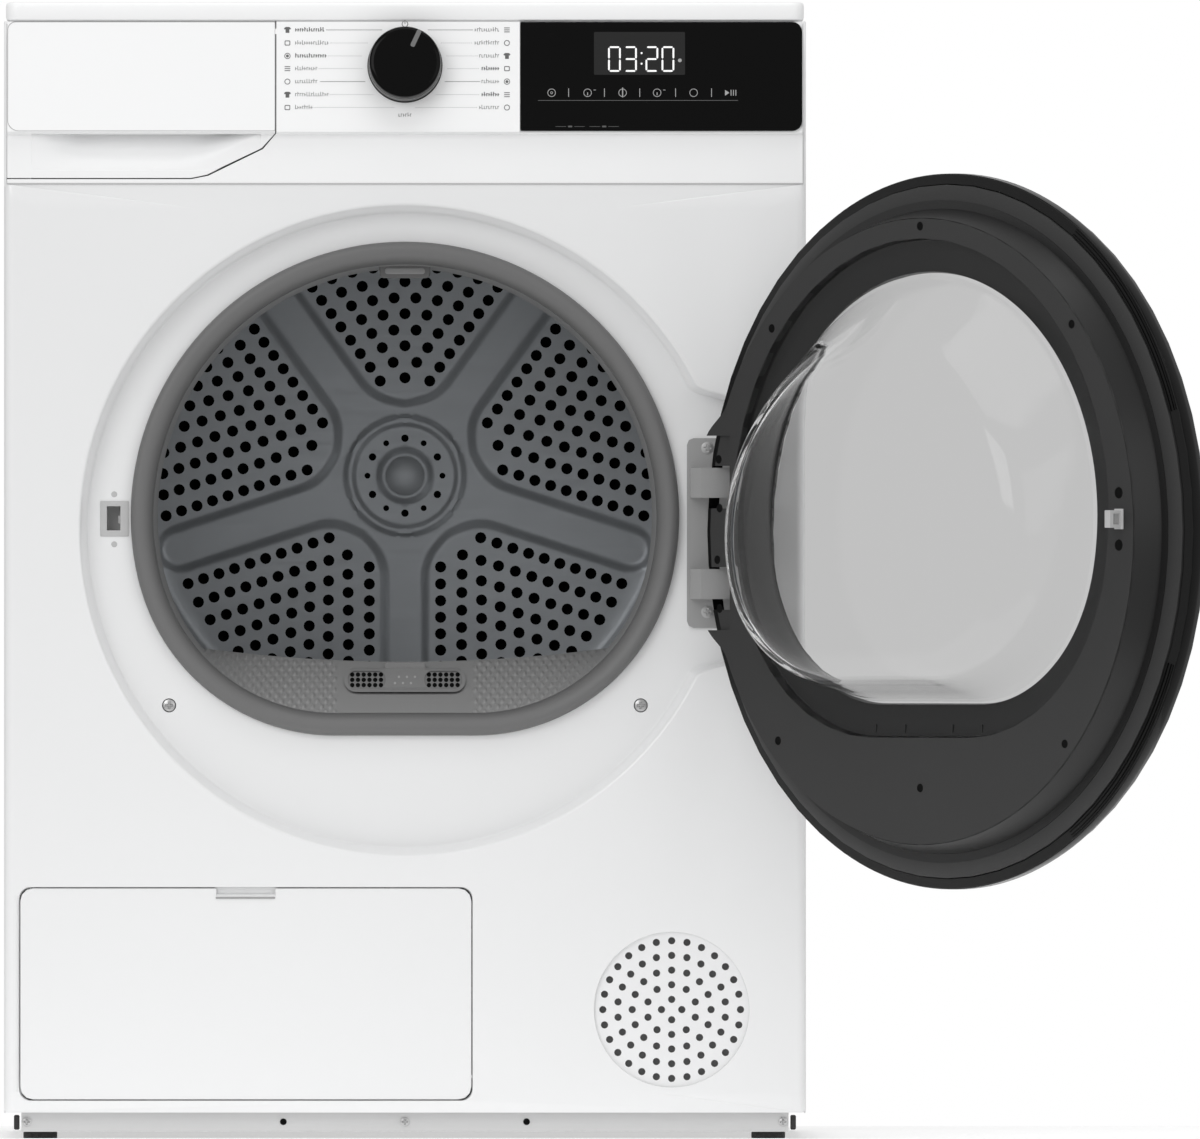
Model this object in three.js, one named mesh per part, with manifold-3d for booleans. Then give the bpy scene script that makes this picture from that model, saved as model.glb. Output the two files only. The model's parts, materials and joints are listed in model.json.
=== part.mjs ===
// A front-loading heat-pump clothes dryer, 600 mm wide and 850 mm high, with its door standing open.
// Millimetres, +Z up, front facing -Y. Every physical piece is its own named mesh.
import * as THREE from "three";
import { mergeVertices } from "three/addons/utils/BufferGeometryUtils.js";
import Module from "manifold-3d";

const wasm = await Module();
wasm.setup();

// ---- Driving dimensions -------------------------------------------------------------------
const WIDTH = 600; // cabinet
const HEIGHT = 850;
const FRONT_Y = -290; // face of the front panel
const REAR_Y = 300; // rearmost face
const GAP = 0.3; // between pieces that touch
const SHEET = 2; // pressed steel of the front, with its enamel
const THIN_SHEET = 1.3; // side, rear and duct panels
const RING_SIDES = 56; // facets round the door and the recess
const DRUM_SIDES = 48;
const HALF_WIDTH = WIDTH / 2;

const BASE_Z = 5; // underside of the base tray, which the feet stand proud of
const PLINTH_TOP = 19;
const PANEL_TOP = 714; // joint between front panel and control panel
const FASCIA_FOOT = 753; // lower edge of the leaning fascia
const FASCIA_TOP = 836; // underside of the worktop trim
const FASCIA_OUT = 8; // how far the fascia's foot stands in front of the panel
const FASCIA_TOP_Y = -286.3;

const OPENING = { z: 465.8, radius: 204.7, corner: 150, cornerX: 52.8, cornerZ: -13.8 };
const RECESS = { z: 455, floor: 236.5, rim: 245.5, depth: 22 };
const HINGE_Z = 453;
const DRUM = { z: 496.8, radius: 285, wall: 1.2, front: -226, rear: 246 };

const DOOR_OPEN_DEG = 132.2; // rest position, counted from closed
const DOOR_GAP = 1.5; // between the door's ring and the recess floor when it is closed
const PIN = { x: 247.8, out: 42, radius: 3 }; // hinge pin, out is measured from the door's ring face
const ARM_Z = [414.8, 490.5]; // middle heights of the two hinge arms
const ARM_HALF = 11.2;

const FLAP = { x0: -289, x1: 51, z0: 28, z1: 188.5, corner: 8 };
const VENT = { x: 199, z: 96.5, radius: 59, deep: 1 };
const DRAWER_X = -97; // right-hand edge of the water drawer
const WINDOW_X = 86; // left-hand edge of the black display window
const MOTOR = { x: 175, z: 110, radius: 58, pulley: 9 };
const IDLER = { x: 59.5, z: 128.6, radius: 20, pivotX: 74, pivotZ: 62, pin: 4 };
const ROLLER = { x: 150, radius: 18 };
const BELT = { y0: 20, y1: 32, thick: 2 };

// The row's origin is the middle of the floor area that the dryer covers with its door open.
const FLOOR_CENTRE = { x: 146, y: -200 };

// ---- Colours, roughness and metalness ------------------------------------------------------
const finish = (color, roughness, metalness = 0, extra = {}) =>
  new THREE.MeshStandardMaterial({ color, roughness, metalness, ...extra });
const WHITE_ENAMEL = finish(0xeeeef0, 0.3);
const WHITE_PLASTIC = finish(0xf2f2f4, 0.35);
const BLACK_GLOSS = finish(0x0b0c0d, 0.08);
const DARK_PLASTIC = finish(0x2c2c2d, 0.45);
const GREY_PLASTIC = finish(0x8f8f90, 0.45);
const LIGHT_GREY = finish(0xb9bab9, 0.45);
const CLEAR_GLASS = finish(0xcfd2d2, 0.05, 0, { transparent: true, opacity: 0.3 });
const DRUM_STEEL = finish(0x7b8086, 0.35, 0.8);
const PLATED_STEEL = finish(0xa9aaab, 0.35, 0.9);
const COPPER_PARTS = finish(0xb98a5c, 0.4, 0.8);
const BLACK_RUBBER = finish(0x1b1b1b, 0.8);
const BOARD_GREEN = finish(0x2d5b3a, 0.6);

// ---- Solids --------------------------------------------------------------------------------
function toSolid(geometry) {
  const bare = new THREE.BufferGeometry();
  bare.setAttribute("position", geometry.getAttribute("position"));
  if (geometry.index) bare.setIndex(geometry.index);
  const merged = mergeVertices(bare, 1e-3);
  const corners = Array.from(merged.index.array);
  const kept = corners.filter((_, i) => {
    const [a, b, c] = corners.slice(i - (i % 3), i - (i % 3) + 3);
    return a !== b && b !== c && c !== a;
  });
  return new wasm.Manifold(
    new wasm.Mesh({
      numProp: 3,
      vertProperties: merged.attributes.position.array,
      triVerts: new Uint32Array(kept),
    }),
  );
}

function toGeometry(solid) {
  const mesh = solid.getMesh();
  return new THREE.BufferGeometry()
    .setAttribute("position", new THREE.BufferAttribute(Float32Array.from(mesh.vertProperties), 3))
    .setIndex(new THREE.BufferAttribute(Uint32Array.from(mesh.triVerts), 1));
}

const join = (...solids) => solids.reduce((whole, piece) => whole.add(piece));
const cut = (solid, ...tools) => tools.reduce((rest, tool) => rest.subtract(tool), solid);

function block(x0, x1, y0, y1, z0, z1) {
  const box = new THREE.BoxGeometry(x1 - x0, y1 - y0, z1 - z0);
  return toSolid(box.translate((x0 + x1) / 2, (y0 + y1) / 2, (z0 + z1) / 2));
}

// Points of an arc, in degrees, both ends included.
function arc(cx, cy, radius, from, to, steps) {
  return Array.from({ length: steps + 1 }, (_, i) => {
    const angle = THREE.MathUtils.degToRad(from + ((to - from) * i) / steps);
    return new THREE.Vector2(cx + radius * Math.cos(angle), cy + radius * Math.sin(angle));
  });
}

const circle = (cx, cy, radius, sides) => arc(cx, cy, radius, 0, 360, sides).slice(0, sides);

function roundedBox(x0, x1, z0, z1, radius, steps = 3) {
  return [
    ...arc(x1 - radius, z1 - radius, radius, 0, 90, steps),
    ...arc(x0 + radius, z1 - radius, radius, 90, 180, steps),
    ...arc(x0 + radius, z0 + radius, radius, 180, 270, steps),
    ...arc(x1 - radius, z0 + radius, radius, 270, 360, steps),
  ];
}

// The loading opening: a circle whose lower part is cut by a level line through two wide corners.
function openingOutline(grow, steps = 24) {
  const { radius, corner, cornerX, cornerZ, z } = OPENING;
  const lean = THREE.MathUtils.radToDeg(Math.atan2(-cornerZ, cornerX));
  return [
    ...arc(0, z, radius + grow, -lean, 180 + lean, steps),
    ...arc(-cornerX, z + cornerZ, corner + grow, 180 + lean, 270, steps / 3).slice(1),
    ...arc(cornerX, z + cornerZ, corner + grow, 270, 360 - lean, steps / 3).slice(0, -1),
  ];
}

// An outline in x and z, carried from yFront back to yBack.
function slab(outline, yFront, yBack) {
  const shape = new THREE.Shape(outline);
  const geometry = new THREE.ExtrudeGeometry(shape, { depth: yBack - yFront, bevelEnabled: false });
  return toSolid(geometry.rotateX(Math.PI / 2).translate(0, yBack, 0));
}

// An outline in y and z, carried from x0 to x1.
function bar(outline, x0, x1) {
  const shape = new THREE.Shape(outline.map(([y, z]) => new THREE.Vector2(y, z)));
  const geometry = new THREE.ExtrudeGeometry(shape, { depth: x1 - x0, bevelEnabled: false });
  const yzx = new THREE.Matrix4().set(0, 0, 1, x0, 1, 0, 0, 0, 0, 1, 0, 0, 0, 0, 0, 1);
  return toSolid(geometry.applyMatrix4(yzx));
}

// An outline in x and y, carried from z0 to z1.
function column(outline, z0, z1) {
  const shape = new THREE.Shape(outline);
  const geometry = new THREE.ExtrudeGeometry(shape, { depth: z1 - z0, bevelEnabled: false });
  return toSolid(geometry.translate(0, 0, z0));
}

// A profile of [radius, y] turned about a line along Y through (x, z). It starts and ends on the
// axis, or else is closed here by coming back to its first point.
function turned(profile, x, z, sides) {
  const points = profile.map(([radius, y]) => new THREE.Vector2(radius, y));
  if (points[0].x > 0) points.push(points[0].clone());
  if (THREE.ShapeUtils.area(points) < 0) points.reverse();
  return toSolid(new THREE.LatheGeometry(points, sides).translate(x, 0, z));
}

const ring = (inner, outer, yFront, yBack, x, z, sides) =>
  turned([[inner, yFront], [outer, yFront], [outer, yBack], [inner, yBack]], x, z, sides);

const disc = (radius, yFront, yBack, x, z, sides) =>
  turned([[0, yFront], [radius, yFront], [radius, yBack], [0, yBack]], x, z, sides);

const post = (x, y, radius, z0, z1, sides) => column(circle(x, y, radius, sides), z0, z1);

const dryer = new THREE.Group();
dryer.position.set(-FLOOR_CENTRE.x, -FLOOR_CENTRE.y, 0);

function place(name, solid, material, parent = dryer) {
  const mesh = new THREE.Mesh(toGeometry(solid), material);
  mesh.name = name;
  parent.add(mesh);
}

// ---- Cabinet -------------------------------------------------------------------------------
const PANEL_BACK = FRONT_Y + 18; // rear edge of the front panel's folded rim

function addCabinet() {
  const sideFront = PANEL_BACK + GAP;
  const sideBack = 298;
  for (const [name, side] of [["left_side_panel", -1], ["right_side_panel", 1]]) {
    const outer = side * HALF_WIDTH;
    const inner = side * (HALF_WIDTH - THIN_SHEET);
    const lip = side * (HALF_WIDTH - 16);
    const sorted = (a, b) => [Math.min(a, b), Math.max(a, b)];
    const wall = block(...sorted(outer, inner), sideFront, sideBack, PLINTH_TOP, FASCIA_TOP - GAP);
    const frontFold = block(...sorted(outer, lip), sideFront, sideFront + THIN_SHEET, 44, PANEL_TOP - 20);
    const foldSpan = sorted(outer, lip);
    const rearFold = block(...foldSpan, sideBack - THIN_SHEET, sideBack, PLINTH_TOP, FASCIA_TOP - GAP);
    place(name, join(wall, frontFold, rearFold), WHITE_ENAMEL);
  }
  const topProfile = [
    [FASCIA_TOP_Y - 0.7, FASCIA_TOP],
    [REAR_Y, FASCIA_TOP],
    [REAR_Y, HEIGHT],
    ...arc(FASCIA_TOP_Y + 5, HEIGHT - 5.7, 5.7, 90, 180, 3).map((p) => [p.x, p.y]),
  ];
  place("worktop", bar(topProfile, -298.5, 298.5), WHITE_PLASTIC);

  const rearPanel = cut(
    block(-284 + GAP, 284 - GAP, 285 - THIN_SHEET, 285, 42, FASCIA_TOP - 4),
    disc(150, 280, 290, 0, DRUM.z, 24),
    disc(9, 280, 290, 230, 770, 12),
    disc(12, 280, 290, -230, 770, 12),
  );
  place("rear_panel", rearPanel, WHITE_ENAMEL);
  const coverOutline = roundedBox(-215, 215, 130, 740, 120, 4);
  const coverInside = roundedBox(-213, 213, 132, 738, 118, 4);
  const cover = cut(slab(coverOutline, 285 + GAP, REAR_Y), slab(coverInside, 284, REAR_Y - THIN_SHEET));
  place("rear_duct_cover", cover, finish(0xb5b7b8, 0.4, 0.7));
}

const FEET = [
  ["foot_front_left", -273, FRONT_Y + 38],
  ["foot_front_right", 272, FRONT_Y + 38],
  ["foot_rear_left", -273, 250],
  ["foot_rear_right", 272, 250],
];

function addBase() {
  const wall = 4;
  const tray = cut(
    block(-287, 287, FRONT_Y + 12, 281, BASE_Z, 40),
    block(-283, 283, FRONT_Y + 12 + wall, 277, BASE_Z + 5, 41),
    block(FLAP.x0 - 1, FLAP.x1 + 3, FRONT_Y + 10, FRONT_Y + 30, 25, 50),
    ...FEET.map(([, x, y]) => post(x, y, 4 + GAP, BASE_Z - 1, BASE_Z + 8, 12)),
  );
  const idlerLug = join(
    block(IDLER.pivotX - 9, IDLER.pivotX + 9, 40, 46, BASE_Z + 2, IDLER.pivotZ + 9),
    disc(IDLER.pin, 33, 41, IDLER.pivotX, IDLER.pivotZ, 12),
  );
  const motorSaddle = cut(
    block(MOTOR.x - 50, MOTOR.x + 50, 70, 140, BASE_Z + 2, MOTOR.z - 20),
    disc(MOTOR.radius + GAP, 60, 150, MOTOR.x, MOTOR.z, 24),
  );
  place("base_frame", join(tray, idlerLug, motorSaddle), finish(0x9d9d9c, 0.5, 0.4));
  for (const [name, x, y] of FEET) {
    const pad = post(x, y, 12.7, 0, BASE_Z - GAP, 20);
    place(name, join(pad, post(x, y, 4, 1, 26, 12)), BLACK_RUBBER);
  }
}

// The pressed front: a flat face, a dished recess round the opening, a pocket for the hinge, a
// cut-out for the service flap and a round field of vent holes.
function addFrontPanel() {
  const z0 = PLINTH_TOP + GAP;
  const back = FRONT_Y + SHEET;
  const floorY = FRONT_Y + RECESS.depth;
  const soft = 4;
  const faceEdge = [
    [-HALF_WIDTH, PANEL_BACK],
    [-HALF_WIDTH, FRONT_Y + soft],
    [-HALF_WIDTH + soft, FRONT_Y],
    [HALF_WIDTH - soft, FRONT_Y],
    [HALF_WIDTH, FRONT_Y + soft],
    [HALF_WIDTH, PANEL_BACK],
    [HALF_WIDTH - SHEET, PANEL_BACK],
    [HALF_WIDTH - SHEET, FRONT_Y + soft + 1],
    [HALF_WIDTH - soft - 1, back],
    [-HALF_WIDTH + soft + 1, back],
    [-HALF_WIDTH + SHEET, FRONT_Y + soft + 1],
    [-HALF_WIDTH + SHEET, PANEL_BACK],
  ].map(([x, y]) => new THREE.Vector2(x, y));
  const face = column(faceEdge, z0, PANEL_TOP);
  const topFold = block(-297, 297, back - 1, PANEL_BACK, PANEL_TOP - SHEET, PANEL_TOP);
  const bottomFold = block(-297, 297, back - 1, FRONT_Y + 11, z0, z0 + SHEET);
  const cupBack = floorY + SHEET;
  const shellOut = SHEET + 1;
  const cup = turned(
    [
      [0, FRONT_Y + 0.5],
      [RECESS.rim + shellOut, FRONT_Y + 0.5],
      [RECESS.floor + shellOut, cupBack],
      [0, cupBack],
    ],
    0, RECESS.z, RING_SIDES,
  );
  const dish = turned(
    [
      [0, FRONT_Y - 1],
      [RECESS.rim, FRONT_Y - 1],
      [RECESS.rim, FRONT_Y],
      [RECESS.floor, floorY],
      [0, floorY],
    ],
    0, RECESS.z, RING_SIDES,
  );
  const pocketReach = 260;
  const pocketHalf = 85;
  const pocketEdge = (grow) => [
    new THREE.Vector2(150, HINGE_Z - pocketHalf - grow),
    ...arc(0, HINGE_Z, pocketReach + grow, -19.4, 19.4, 6),
    new THREE.Vector2(150, HINGE_Z + pocketHalf + grow),
  ];
  const pocketCup = slab(pocketEdge(SHEET), FRONT_Y + 0.5, cupBack);
  const pocket = slab(pocketEdge(0), FRONT_Y - 1, floorY);
  const opening = slab(openingOutline(GAP), FRONT_Y - 5, cupBack + 5);
  const flapHole = slab(roundedBox(FLAP.x0, FLAP.x1, FLAP.z0, FLAP.z1, FLAP.corner), FRONT_Y - 1, back + 1);
  const ventDish = disc(VENT.radius, FRONT_Y - 1, FRONT_Y + VENT.deep, VENT.x, VENT.z, 36);
  const latchHole = block(-227, -208, floorY - 1, cupBack + 1, 452, 476);
  const screwHoles = [-176.5, 176.5].map((x) => disc(2.2, floorY - 1, cupBack + 1, x, 324, 8));
  const panel = cut(
    join(face, topFold, bottomFold, cup, pocketCup),
    dish, pocket, opening, flapHole, latchHole, ventDish, ...screwHoles,
  );
  place("front_panel", panel, WHITE_ENAMEL);
}

// ---- Control panel and water drawer --------------------------------------------------------
const FASCIA_LEAN = Math.atan2(FASCIA_TOP_Y - (FRONT_Y - FASCIA_OUT), FASCIA_TOP - FASCIA_FOOT);
const fascia = new THREE.Group(); // lies in the leaning face: y is square to it, z runs up it
fascia.position.set(0, FRONT_Y - FASCIA_OUT, FASCIA_FOOT);
fascia.rotation.x = -FASCIA_LEAN;
dryer.add(fascia);

const fasciaFoot = [FRONT_Y - FASCIA_OUT, FASCIA_FOOT];
const fasciaHead = [FASCIA_TOP_Y, FASCIA_TOP - GAP];
const panelProfile = (foot) => [
  [FRONT_Y, foot],
  [FRONT_Y, FASCIA_FOOT - 2],
  fasciaFoot,
  fasciaHead,
  [-256, FASCIA_TOP - GAP],
  [-256, FASCIA_TOP - 4],
  [FASCIA_TOP_Y + 3, FASCIA_TOP - 4],
  [FRONT_Y - FASCIA_OUT + 4, FASCIA_FOOT + 2.5],
  [FRONT_Y + 3, FASCIA_FOOT + 0.5],
  [FRONT_Y + 3, foot + 3],
  [FRONT_Y + 16, foot + 3],
  [FRONT_Y + 16, foot],
].reverse();

// The closed ends of the control panel and of the drawer front.
const endProfile = (foot) => [
  [FRONT_Y, foot],
  [FRONT_Y, FASCIA_FOOT - 2],
  fasciaFoot,
  fasciaHead,
  [PANEL_BACK - 1, FASCIA_TOP - GAP],
  [PANEL_BACK - 1, foot],
].reverse();

const PANEL_HALF = 297.6;
const END_WALL = 2.5;
const KNOB = { x: 0, up: 50, radius: 27.7, length: 22, stem: 4 };

// Outline of the drawer front below the fascia, with the sloping corner over the drum.
const drawerOutline = (grow) => [
  new THREE.Vector2(-HALF_WIDTH - 5, 718.5 - grow),
  new THREE.Vector2(-160, 718.5 - grow),
  new THREE.Vector2(-148 + grow, 721 - grow),
  new THREE.Vector2(-107 + grow, 741 - grow),
  new THREE.Vector2(DRAWER_X + grow, 752),
  new THREE.Vector2(DRAWER_X + grow, 840),
  new THREE.Vector2(-HALF_WIDTH - 5, 840),
];

function addControlPanel() {
  const whole = join(
    bar(panelProfile(PANEL_TOP + GAP), -PANEL_HALF, PANEL_HALF),
    bar(endProfile(PANEL_TOP + GAP), PANEL_HALF - END_WALL, PANEL_HALF),
  );
  const drawerCut = slab(drawerOutline(0.8), -320, -250);
  const windowSeat = toSolid(
    new THREE.BoxGeometry(400, 4, 90)
      .translate(WINDOW_X + 200, 0, 42)
      .rotateX(-FASCIA_LEAN)
      .translate(0, FRONT_Y - FASCIA_OUT, FASCIA_FOOT),
  );
  const seatEdge = cut(windowSeat, block(297.3, 600, -400, 0, 700, 900));
  const shaftHole = toSolid(
    new THREE.CylinderGeometry(5, 5, 40, 12)
      .translate(KNOB.x, 0, KNOB.up)
      .rotateX(-FASCIA_LEAN)
      .translate(0, FRONT_Y - FASCIA_OUT, FASCIA_FOOT),
  );
  place("control_panel", cut(whole, drawerCut, seatEdge, shaftHole), WHITE_PLASTIC);

  const glass = slab(roundedBox(WINDOW_X + 0.4, 297, 0.8, 83.2, 1.5, 2), 0, 2 - GAP);
  place("display_window", glass, BLACK_GLOSS, fascia);
  place("control_board", block(92, 288, 7, 9, 10, 76), BOARD_GREEN, fascia);

  const cap = turned(
    [[0, -KNOB.length], [KNOB.radius - 2.2, -KNOB.length], [KNOB.radius - 1, -KNOB.length + 1.4],
      [KNOB.radius - 1, -6], [KNOB.radius, -5], [KNOB.radius, -GAP - 0.2], [0, -GAP - 0.2]],
    KNOB.x, KNOB.up, 40,
  );
  place("program_knob", join(cap, disc(KNOB.stem, -2, 12, KNOB.x, KNOB.up, 12)), BLACK_GLOSS, fascia);
  place("selector_switch", block(-16, 16, 12 + GAP, 26, KNOB.up - 16, KNOB.up + 16), DARK_PLASTIC, fascia);
}

function addWaterDrawer() {
  const body = join(
    bar(panelProfile(PANEL_TOP), -PANEL_HALF, 0),
    bar(endProfile(PANEL_TOP), -PANEL_HALF, -PANEL_HALF + END_WALL),
  );
  const apron = block(-PANEL_HALF, -80, FRONT_Y, FRONT_Y + 26, 716, FASCIA_FOOT + 4);
  const scoop = bar(
    [[FRONT_Y - 1, 724], [FRONT_Y - 1, FASCIA_FOOT + 1], [FRONT_Y + 18, FASCIA_FOOT + 1],
      [FRONT_Y + 21, 745], [FRONT_Y + 12, 729]].reverse(),
    -279, -108,
  );
  const keep = slab(drawerOutline(0), -320, -250);
  const front = cut(join(body, apron).intersect(keep), scoop.intersect(keep));
  place("drawer_front", front, WHITE_PLASTIC);

  // The tank's underside follows the drum.
  const section = (inset) =>
    [[-290, 722], [-195, 722], [-150, 753], [-106, 774], [-106, 830], [-290, 830]].map(
      ([x, z]) => new THREE.Vector2(x + (x < -200 ? inset : -inset), z + (z < 800 ? inset * 1.3 : -inset)),
    );
  const tank = cut(
    slab(section(0), FRONT_Y + 26 + GAP, 190),
    slab(section(2), FRONT_Y + 29, 187),
    block(-250, -210, 150, 176, 820, 840),
  );
  place("water_tank", tank, finish(0xd6d9db, 0.4));
}

// ---- Opening, bulkhead and lint filter ------------------------------------------------------
const SHELF = { front: -262, back: -168, low: 316, high: 356 }; // the sloping grille over the duct
const FILTER = { half: 45, front: -204, back: -180, foot: 246 };
const COLLAR_BACK = -192;

function addBulkhead() {
  const floorY = FRONT_Y + RECESS.depth;
  const bead = cut(
    join(
      slab(openingOutline(-1), floorY - 6, floorY - 3),
      slab(openingOutline(-GAP), floorY - 3, floorY + 8),
    ),
    slab(openingOutline(-13.7), floorY - 10, floorY + 20),
  );
  place("opening_seal", bead, GREY_PLASTIC);

  const plateY = floorY + 8 + GAP;
  const plate = cut(
    slab(roundedBox(-283, 283, 206, 788, 90, 4), plateY, plateY + 5),
    slab([...drawerTankShadow], plateY - 1, plateY + 6),
  );
  const collar = slab(openingOutline(-9), plateY, COLLAR_BACK);
  const bore = slab(openingOutline(-13.7), plateY - 1, COLLAR_BACK + 1);
  const steepness = (SHELF.high - SHELF.low) / (SHELF.back - SHELF.front);
  const slope = (y) => SHELF.low + steepness * (y - SHELF.front);
  const overShelf = bar(
    [[SHELF.front - 5, slope(SHELF.front - 5)], [SHELF.back + 5, slope(SHELF.back + 5)],
      [SHELF.back + 5, 700], [SHELF.front - 5, 700]],
    -220, 220,
  );
  const shelfRoom = block(-200, 200, plateY, SHELF.back, 290, 366);
  const shelf = slab(openingOutline(-11), plateY, SHELF.back).intersect(shelfRoom);
  const { half, front, back, foot } = FILTER;
  const duct = block(-half - 8, half + 8, front - 8, back + 8, foot + 10, 340);
  const filterSlot = block(-half - 0.8, half + 0.8, front - 0.8, back + 0.8, 230, 420);
  const latchRoom = block(-230, -205, plateY - 1, plateY + 6, 449, 479);
  const axles = [-1, 1].map((side) =>
    disc(4, plateY + 2, DRUM.front + 26, side * ROLLER.x, rollerHeight(), 12));
  const body = join(cut(join(plate, collar), bore, latchRoom), cut(join(shelf, duct), overShelf), ...axles);
  place("front_bulkhead", cut(body, filterSlot), GREY_PLASTIC);

  const cassette = block(-FILTER.half, FILTER.half, FILTER.front, FILTER.back, FILTER.foot, 352);
  const grip = block(-15, 15, FILTER.back - 4, FILTER.back, 345, slope(FILTER.back) + 5);
  place("lint_filter", join(cut(cassette, overShelf), grip), GREY_PLASTIC);
  place("drum_lamp_cover", block(-15, 15, floorY + 22, floorY + 34, 653, 655.4), LIGHT_GREY);
  const felt = ring(274, 283, plateY + 5 + GAP, DRUM.front + 8, 0, DRUM.z, 36);
  place("drum_front_felt", felt, finish(0x6a6a68, 0.95));
}

const rollerHeight = () =>
  DRUM.z - Math.sqrt((DRUM.radius + DRUM.wall + ROLLER.radius + GAP) ** 2 - ROLLER.x ** 2);

// Room for the water tank in the bulkhead's upper left corner.
const drawerTankShadow = [[-290, 718], [-193, 718], [-146, 749], [-102, 771], [-102, 840], [-290, 840]].map(
  ([x, z]) => new THREE.Vector2(x, z),
);

const CATCH = { x0: -214.6, x1: -206, y0: -265, y1: -261.4, z0: 460, z1: 466 };

function addLatch() {
  const floorY = FRONT_Y + RECESS.depth;
  const { x0, x1, y0, y1, z0, z1 } = CATCH;
  const box = cut(
    join(
      block(-227 + GAP, -208 - GAP, floorY - 0.9, floorY + 20, 452 + GAP, 476 - GAP),
      block(-228, -206.8, floorY - 1.2, floorY - GAP, 450.5, 477),
    ),
    block(-223, -213, floorY - 4, floorY + 17, 455, 473),
    block(x0 + 1, x1, y0 - 0.4, y1 + 0.4, z0 - 0.4, z1 + 0.4),
  );
  place("latch_box", box, LIGHT_GREY);
  place("latch_catch", block(x0, x1, y0, y1, z0, z1), PLATED_STEEL);
}

// ---- Drum and its bearings ------------------------------------------------------------------
function addDrum() {
  const { radius, wall, front, rear, z } = DRUM;
  place("drum_shell", ring(radius, radius + wall, front, rear, 0, z, DRUM_SIDES), DRUM_STEEL);
  const back = turned(
    [[0, rear - 8], [42, rear - 8], [44, rear - 5], [196, rear - 5], [200, rear], [radius - 0.4, rear],
      [radius - 0.4, rear + 1.5], [199, rear + 1.5], [195, rear - 3.5],
      [44, rear - 3.5], [42, rear - 6.5], [0, rear - 6.5]],
    0, z, DRUM_SIDES,
  );
  const sectorTools = Array.from({ length: 5 }, (_, i) => sectorField(i * 72 + 90, rear - 12, rear - 4.2));
  place("drum_rear_wall", cut(back, ...sectorTools), DRUM_STEEL);
  const lifterEdge = [
    [-30, -1], [-16, 34], [-7, 55], [7, 55], [16, 34], [30, -1],
  ];
  for (let i = 0; i < 3; i++) {
    const angle = THREE.MathUtils.degToRad(30 + 120 * i);
    const outline = lifterEdge.map(([across, up]) => {
      const reach = radius - 2.5 - up - (Math.abs(across) > 20 ? 1.5 : 0);
      return new THREE.Vector2(
        reach * Math.cos(angle) - across * Math.sin(angle),
        z + reach * Math.sin(angle) + across * Math.cos(angle),
      );
    });
    place(`drum_lifter_${i + 1}`, slab(outline.reverse(), -150, rear - 8), DRUM_STEEL);
  }
  place("drum_shaft", disc(12, rear - 6.2, 276, 0, z, 20), PLATED_STEEL);
  const support = cut(
    slab(roundedBox(-283, 283, 200, 790, 110, 4), 264, 266),
    slab(drawerTankShadow, 261, 267),
    disc(12.6, 261, 270, 0, z, 20),
    ...[0, 1, 2, 3, 4].map((i) => {
      const a = THREE.MathUtils.degToRad(54 + 72 * i);
      return disc(52, 261, 267, 120 * Math.cos(a), z + 120 * Math.sin(a), 12);
    }),
  );
  place("rear_bulkhead", support, PLATED_STEEL);
  place("drum_bearing", ring(12.6, 26, 266 + GAP, 274, 0, z, 20), PLATED_STEEL);

  for (const [name, side] of [["left", -1], ["right", 1]]) {
    const wheel = ring(4 + GAP, ROLLER.radius, front + 4, front + 20, side * ROLLER.x, rollerHeight(), 24);
    place(`drum_roller_${name}`, wheel, DARK_PLASTIC);
  }
}

// One perforated field of the rear wall, between two spokes, at the given heading in degrees.
function sectorField(heading, yFront, yBack) {
  const half = 27;
  const inner = 82;
  const outer = 186;
  const turn = THREE.MathUtils.degToRad(heading);
  const spokeHalf = 20;
  const at = (radius, degrees) => {
    const a = turn + THREE.MathUtils.degToRad(degrees);
    return new THREE.Vector2(radius * Math.cos(a), DRUM.z + radius * Math.sin(a));
  };
  const edge = (radius) => 36 - THREE.MathUtils.radToDeg(Math.asin(spokeHalf / radius));
  return slab(
    [at(inner, -edge(inner)), at(outer, -edge(outer)), at(outer + 4, -half / 2), at(outer + 4, half / 2),
      at(outer, edge(outer)), at(inner, edge(inner))],
    yFront, yBack,
  );
}

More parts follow.
